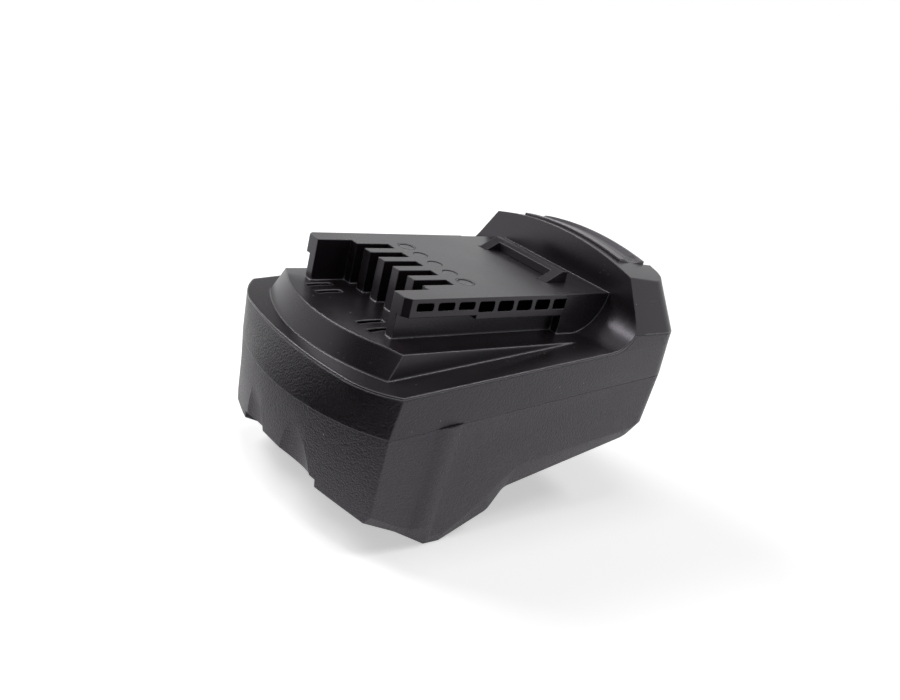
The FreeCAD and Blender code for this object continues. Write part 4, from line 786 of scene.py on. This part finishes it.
# %% Cell sleeve
SLEEVE_HALF = 32.1
cell_wrap = Finish("cell_wrap", (0.015, 0.105, 0.145), 0.30)
across = place_of(cell_wrap)[0]
out = cell_wrap.maths("ABSOLUTE", across)
bare = cell_wrap.ramp(out, SLEEVE_HALF, SLEEVE_HALF + 0.15)
spot = cell_wrap.add("ShaderNodeTexCoord")
waves = cell_wrap.add("ShaderNodeTexNoise", Scale=240.0, Detail=2.0, Roughness=0.5)
cell_wrap.tree.links.new(spot.outputs["Object"], waves.inputs["Vector"])
stain = cell_wrap.add("ShaderNodeTexNoise", Scale=900.0, Detail=4.0, Roughness=0.6)
cell_wrap.tree.links.new(spot.outputs["Object"], stain.inputs["Vector"])
handled = cell_wrap.group(edges, Wear=0.7, Breakup=700.0)
cell_wrap.tint(cell_wrap.maths("MULTIPLY", waves.outputs[0], 0.25), (0.03, 0.16, 0.21))
cell_wrap.tint(cell_wrap.maths("MULTIPLY", handled.outputs["Mask"], 0.5), (0.10, 0.24, 0.30))
cell_wrap.tint(bare, (0.56, 0.55, 0.53))
cell_wrap.roughen(stain.outputs[0], 0.14)
cell_wrap.tree.links.new(bare, cell_wrap.shader.inputs["Metallic"])
cell_wrap.normal = handled.outputs["Normal"]
cell_wrap.bump(waves.outputs[0], 0.08)
cell_wrap = cell_wrap.done()
print("sleeve ends at mm:", SLEEVE_HALF)

# %% [markdown]
# ### Insulating sheet, foam and component bodies
# The sheets over the weld strips are pressed grey-green fibre with short flecks. The belly pad is
# open foam, dark and soft, whose pores are a cell noise. The components are matt black epoxy and
# ceramic.

# %% Insulation
insulation = Finish("insulation", (0.32, 0.34, 0.30), 0.75)
spot = insulation.add("ShaderNodeTexCoord")
fibres = insulation.add("ShaderNodeTexNoise", Scale=1500.0, Detail=5.0, Roughness=0.7)
insulation.tree.links.new(spot.outputs["Object"], fibres.inputs["Vector"])
flecks = insulation.add("ShaderNodeTexVoronoi", Scale=420.0)
insulation.tree.links.new(spot.outputs["Object"], flecks.inputs["Vector"])
handled = insulation.group(edges, Wear=0.8, Breakup=600.0)
insulation.tint(insulation.ramp(fibres.outputs[0], 0.4, 0.7), (0.40, 0.42, 0.37))
insulation.tint(insulation.maths("LESS_THAN", flecks.outputs["Distance"], 0.16), (0.20, 0.22, 0.18))
insulation.tint(handled.outputs["Mask"], (0.50, 0.52, 0.47))
insulation.roughen(fibres.outputs[0], 0.15)
insulation.normal = handled.outputs["Normal"]
insulation.bump(fibres.outputs[0], 0.02)
insulation = insulation.done()
print("sheet finish:", insulation.name)

# %% Foam
foam = Finish("foam", (0.060, 0.060, 0.066), 0.95, specular=0.2)
spot = foam.add("ShaderNodeTexCoord")
pores = foam.add("ShaderNodeTexVoronoi", Scale=1100.0, feature="F1")
foam.tree.links.new(spot.outputs["Object"], pores.inputs["Vector"])
lumps = foam.add("ShaderNodeTexNoise", Scale=240.0, Detail=4.0)
foam.tree.links.new(spot.outputs["Object"], lumps.inputs["Vector"])
# Painted shade: the pores keep a darker colour than the foam between them.
deep = foam.ramp(pores.outputs["Distance"], 0.15, 0.6)
foam.tint(deep, (0.105, 0.105, 0.112))
foam.tint(foam.ramp(lumps.outputs[0], 0.4, 0.7), (0.045, 0.045, 0.050))
foam.roughen(lumps.outputs[0], 0.05)
foam.bump(deep, 0.20)
foam = foam.done()
print("pad finish:", foam.name)

# %% Component bodies
component_black = Finish("component_black", (0.030, 0.030, 0.032), 0.55)
spot = component_black.add("ShaderNodeTexCoord")
dots = component_black.add("ShaderNodeTexNoise", Scale=2200.0, Detail=3.0)
component_black.tree.links.new(spot.outputs["Object"], dots.inputs["Vector"])
handled = component_black.group(edges, Wear=0.6, Breakup=900.0)
component_black.tint(component_black.ramp(dots.outputs[0], 0.45, 0.7), (0.050, 0.050, 0.052))
component_black.tint(handled.outputs["Mask"], (0.09, 0.09, 0.09))
component_black.roughen(dots.outputs[0], 0.18)
component_black.normal = handled.outputs["Normal"]
component_black.bump(dots.outputs[0], 0.01)
component_black = component_black.done()
print("finishes so far:", len(bpy.data.materials))

# %% [markdown]
# ### Circuit board
# The board is green lacquer over copper. Its tracks are a little lighter where the copper lies under
# the lacquer: the joints of a brick pattern make long runs with steps, and a cell noise makes round
# solder pads. Its cut edge shows the bare, yellow-brown laminate.

# %% Board
board = Finish("board", (0.010, 0.060, 0.026), 0.32)
spot = board.add("ShaderNodeTexCoord")
spread = board.add("ShaderNodeMapping")
spread.inputs["Scale"].default_value = (170, 130, 170)
board.tree.links.new(spot.outputs["Object"], spread.inputs["Vector"])
tracks = board.add("ShaderNodeTexBrick", Scale=1.0)
tracks.offset = 0.37
tracks.squash = 0.6
tracks.squash_frequency = 3
tracks.inputs["Mortar Size"].default_value = 0.10
tracks.inputs["Mortar Smooth"].default_value = 0.2
board.tree.links.new(spread.outputs[0], tracks.inputs["Vector"])
pads = board.add("ShaderNodeTexVoronoi", Scale=230.0)
pads.inputs["Randomness"].default_value = 0.4
board.tree.links.new(spot.outputs["Object"], pads.inputs["Vector"])
pad = board.maths("LESS_THAN", pads.outputs["Distance"], 0.16)
side = board.add("ShaderNodeNewGeometry")
parts = board.add("ShaderNodeSeparateXYZ")
board.tree.links.new(side.outputs["True Normal"], parts.inputs[0])
flat = board.maths("ABSOLUTE", parts.outputs[2])
cut_edge = board.maths("LESS_THAN", flat, 0.5)
blotch = board.add("ShaderNodeTexNoise", Scale=500.0, Detail=3.0)
board.tree.links.new(spot.outputs["Object"], blotch.inputs["Vector"])
board.tint(tracks.outputs["Fac"], (0.022, 0.110, 0.045))
board.tint(pad, (0.45, 0.45, 0.44))
board.tint(cut_edge, (0.23, 0.20, 0.08))
board.roughen(blotch.outputs[0], 0.15)
board.bump(tracks.outputs["Fac"], 0.03)
board = board.done()
print("board finish:", board.name)

# %% [markdown]
# ## Dress the solids
# Each solid keeps its shape and gets the finish of its slot in the record. Its mesh comes as loose
# triangles, so a small geometry node tree first joins them and then shades curved faces smoothly
# while it keeps every edge that turns by more than a set angle.

# %% Smooth curved faces, keep the edges
shading = bpy.data.node_groups.new("join_and_smooth", "GeometryNodeTree")
shading.interface.new_socket("Geometry", in_out="INPUT", socket_type="NodeSocketGeometry")
shading.interface.new_socket("Geometry", in_out="OUTPUT", socket_type="NodeSocketGeometry")
SHARP = math.radians(24)
given = node_of(shading, "NodeGroupInput", (-600, 0))
merged = node_of(shading, "GeometryNodeMergeByDistance", (-400, 0), Distance=1e-6)
angle = node_of(shading, "GeometryNodeInputMeshEdgeAngle", (-400, -200))
soft = node_of(shading, "FunctionNodeCompare", (-200, -200), data_type="FLOAT", operation="LESS_THAN")
soft.inputs[1].default_value = SHARP
faces = node_of(shading, "GeometryNodeSetShadeSmooth", (-200, 0), domain="FACE")
lines = node_of(shading, "GeometryNodeSetShadeSmooth", (0, 0), domain="EDGE")
result = node_of(shading, "NodeGroupOutput", (200, 0))
shading.links.new(given.outputs[0], merged.inputs[0])
shading.links.new(merged.outputs[0], faces.inputs["Geometry"])
shading.links.new(faces.outputs[0], lines.inputs["Geometry"])
shading.links.new(angle.outputs["Unsigned Angle"], soft.inputs[0])
shading.links.new(soft.outputs[0], lines.inputs["Shade Smooth"])
shading.links.new(lines.outputs[0], result.inputs[0])
print("edges stay sharp above degrees:", round(math.degrees(SHARP)))

# %% Finishes by slot
FINISHES = {
    "cover_plastic": cover_plastic,
    "belt_plastic": belt_plastic,
    "case_plastic": case_plastic,
    "button_plastic": button_plastic,
    "catch_plastic": catch_plastic,
    "inner_plastic": inner_plastic,
    "spring_steel": spring_steel,
    "cell_wrap": cell_wrap,
    "nickel": nickel,
    "contact_metal": contact_metal,
    "insulation": insulation,
    "foam": foam,
    "board": board,
    "component_black": component_black,
    "screw_steel": screw_steel,
}
SLOTS = {part["node"]: part["material_slot"] for part in frame["record"]["subparts"]}


def dress(name):
    """Gives a solid its finish and joins and smooths its loose triangles, with its own mesh unchanged."""
    solid = NODES[name]
    solid.data.materials.clear()
    solid.data.materials.append(FINISHES[SLOTS[name]])
    tidy = solid.modifiers.new("join_and_smooth", "NODES")
    tidy.node_group = shading


for name in sorted(NODES):
    dress(name)
print("solids dressed:", len(NODES), " slots:", len(set(SLOTS.values())))

# %% [markdown]
# ## The belly pad
# Between the lowest cells and the sloping floor of the lower case lies a block of foam that takes up
# the play. Seen from the side it is a wedge with a blunt point, cut from sheet foam, and foam has no
# sharp edge. So the wedge's corners are cut off again and again until they are round, and that
# outline is carried across the pack and drawn in towards both ends.


# %% Rounded outline
def rounded_outline(corners, rounds=3):
    """A closed outline with round corners: in each round, every edge gives way to its points at one
    quarter and three quarters of its length."""
    points = np.array(corners, dtype=float)
    for _ in range(rounds):
        after = np.roll(points, -1, axis=0)
        points = np.stack([0.75 * points + 0.25 * after, 0.25 * points + 0.75 * after], axis=1).reshape(-1, 2)
    return points


WEDGE_FLOOR = ((7.4, -67.6), (18.2, -73.5), (22.9, -73.5), (39.0, -66.4))
WEDGE_TOP = ((42.3, -61.2), (46.2, -58.3), (7.0, -67.0))
WEDGE = WEDGE_FLOOR + WEDGE_TOP
outline = rounded_outline(WEDGE)
print("outline points:", len(outline))


# %% Closed mesh
def closed_grid(name, points):
    """A closed mesh from rows of points: quads between rows that wrap round, and a point at each pole."""
    rows, columns = points.shape[:2]
    flat = points.reshape(-1, 3)
    poles = np.stack([points[0].mean(axis=0), points[-1].mean(axis=0)])
    low = (np.arange(rows - 1)[:, None] * columns + np.arange(columns)[None, :]).ravel()
    side = (np.arange(rows - 1)[:, None] * columns + (np.arange(columns)[None, :] + 1) % columns).ravel()
    quads = np.stack([low, side, side + columns, low + columns], axis=1)
    ring = np.arange(columns)
    after = (ring + 1) % columns
    bottom = np.stack([np.full(columns, len(flat)), after, ring], axis=1)
    last = (rows - 1) * columns
    top = np.stack([np.full(columns, len(flat) + 1), last + ring, last + after], axis=1)
    mesh = bpy.data.meshes.new(name)
    mesh.from_pydata(np.vstack([flat, poles]).tolist(), [], quads.tolist() + bottom.tolist() + top.tolist())
    mesh.shade_smooth()
    made = bpy.data.objects.new(name, mesh)
    bpy.context.scene.collection.objects.link(made)
    return made


# %% Foam pad
PAD_HALF = 21.9


def carried_across(outline, half, rows=34):
    """The outline at places across the pack, x = half times the sine of an even turn. Each is drawn in
    to its middle by the tenth root of 1 minus the tenth power of x over half, so the ends are round."""
    turn = np.linspace(-np.pi / 2, np.pi / 2, rows + 2)[1:-1]
    share = np.sin(turn)
    drawn_in = (1 - np.abs(share) ** 10) ** 0.1
    middle = outline.mean(axis=0)
    section = middle + (outline - middle)[None, :, :] * drawn_in[:, None, None]
    x = np.repeat((half * share)[:, None, None], len(outline), axis=1)
    return (np.concatenate([x, section], axis=2) + np.array(DECK)) * MM


pad = closed_grid("foam_pad", carried_across(outline, PAD_HALF))
pad.data.materials.append(foam)
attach(pad, "pack")
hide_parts("belly_foam")
print("pad faces:", len(pad.data.polygons))


# %% [markdown]
# ## The latch springs
# Two springs under the button push the latch up. A spring gets shorter when the button is pressed, but
# each is wound here as an even helix of its own, in the place of its solid, and doesn't follow the latch's
# travel.


# %% Wound wire
def wound_wire(centre, low, high, radius, wire, turns, rows=181, columns=12):
    """Rings of points round a helix. Its middle line is (r cos t, r sin t, low + rise t / 2 pi); each ring
    lies in the plane of the outward direction and the direction square to it and to the wire's run."""
    turn = np.linspace(0.0, 2.0 * np.pi * turns, rows)
    rise = (high - low) / turns
    outward = np.stack([np.cos(turn), np.sin(turn), np.zeros(rows)], axis=1)
    climb = np.full(rows, rise / (2.0 * np.pi))
    line = np.stack([-radius * np.sin(turn), radius * np.cos(turn), climb], axis=1)
    line /= np.linalg.norm(line, axis=1)[:, None]
    square = np.cross(line, outward)
    height = low + rise * turn / (2.0 * np.pi)
    middle = outward * radius + np.stack([np.zeros(rows), np.zeros(rows), height], axis=1)
    ring = np.linspace(0.0, 2.0 * np.pi, columns, endpoint=False)
    around = outward[:, None, :] * np.cos(ring)[None, :, None]
    around = around + square[:, None, :] * np.sin(ring)[None, :, None]
    return (middle[:, None, :] + around * wire / 2.0 + np.array([centre[0], centre[1], 0.0])) * MM


# %% Springs
WIRE = 0.6
TURNS = 5
for side in ("left_spring", "right_spring"):
    low, high = (Vector(corner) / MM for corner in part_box(side))
    middle = (low + high) / 2.0
    coil_radius = (high.x - low.x - WIRE) / 2.0
    wound = wound_wire(middle, low.z + WIRE / 2.0, high.z - WIRE / 2.0, coil_radius, WIRE, TURNS)
    spring = closed_grid(side + "_wire", wound)
    spring.data.materials.append(spring_steel)
    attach(spring, "pack")
    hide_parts(side)
    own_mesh(spring)
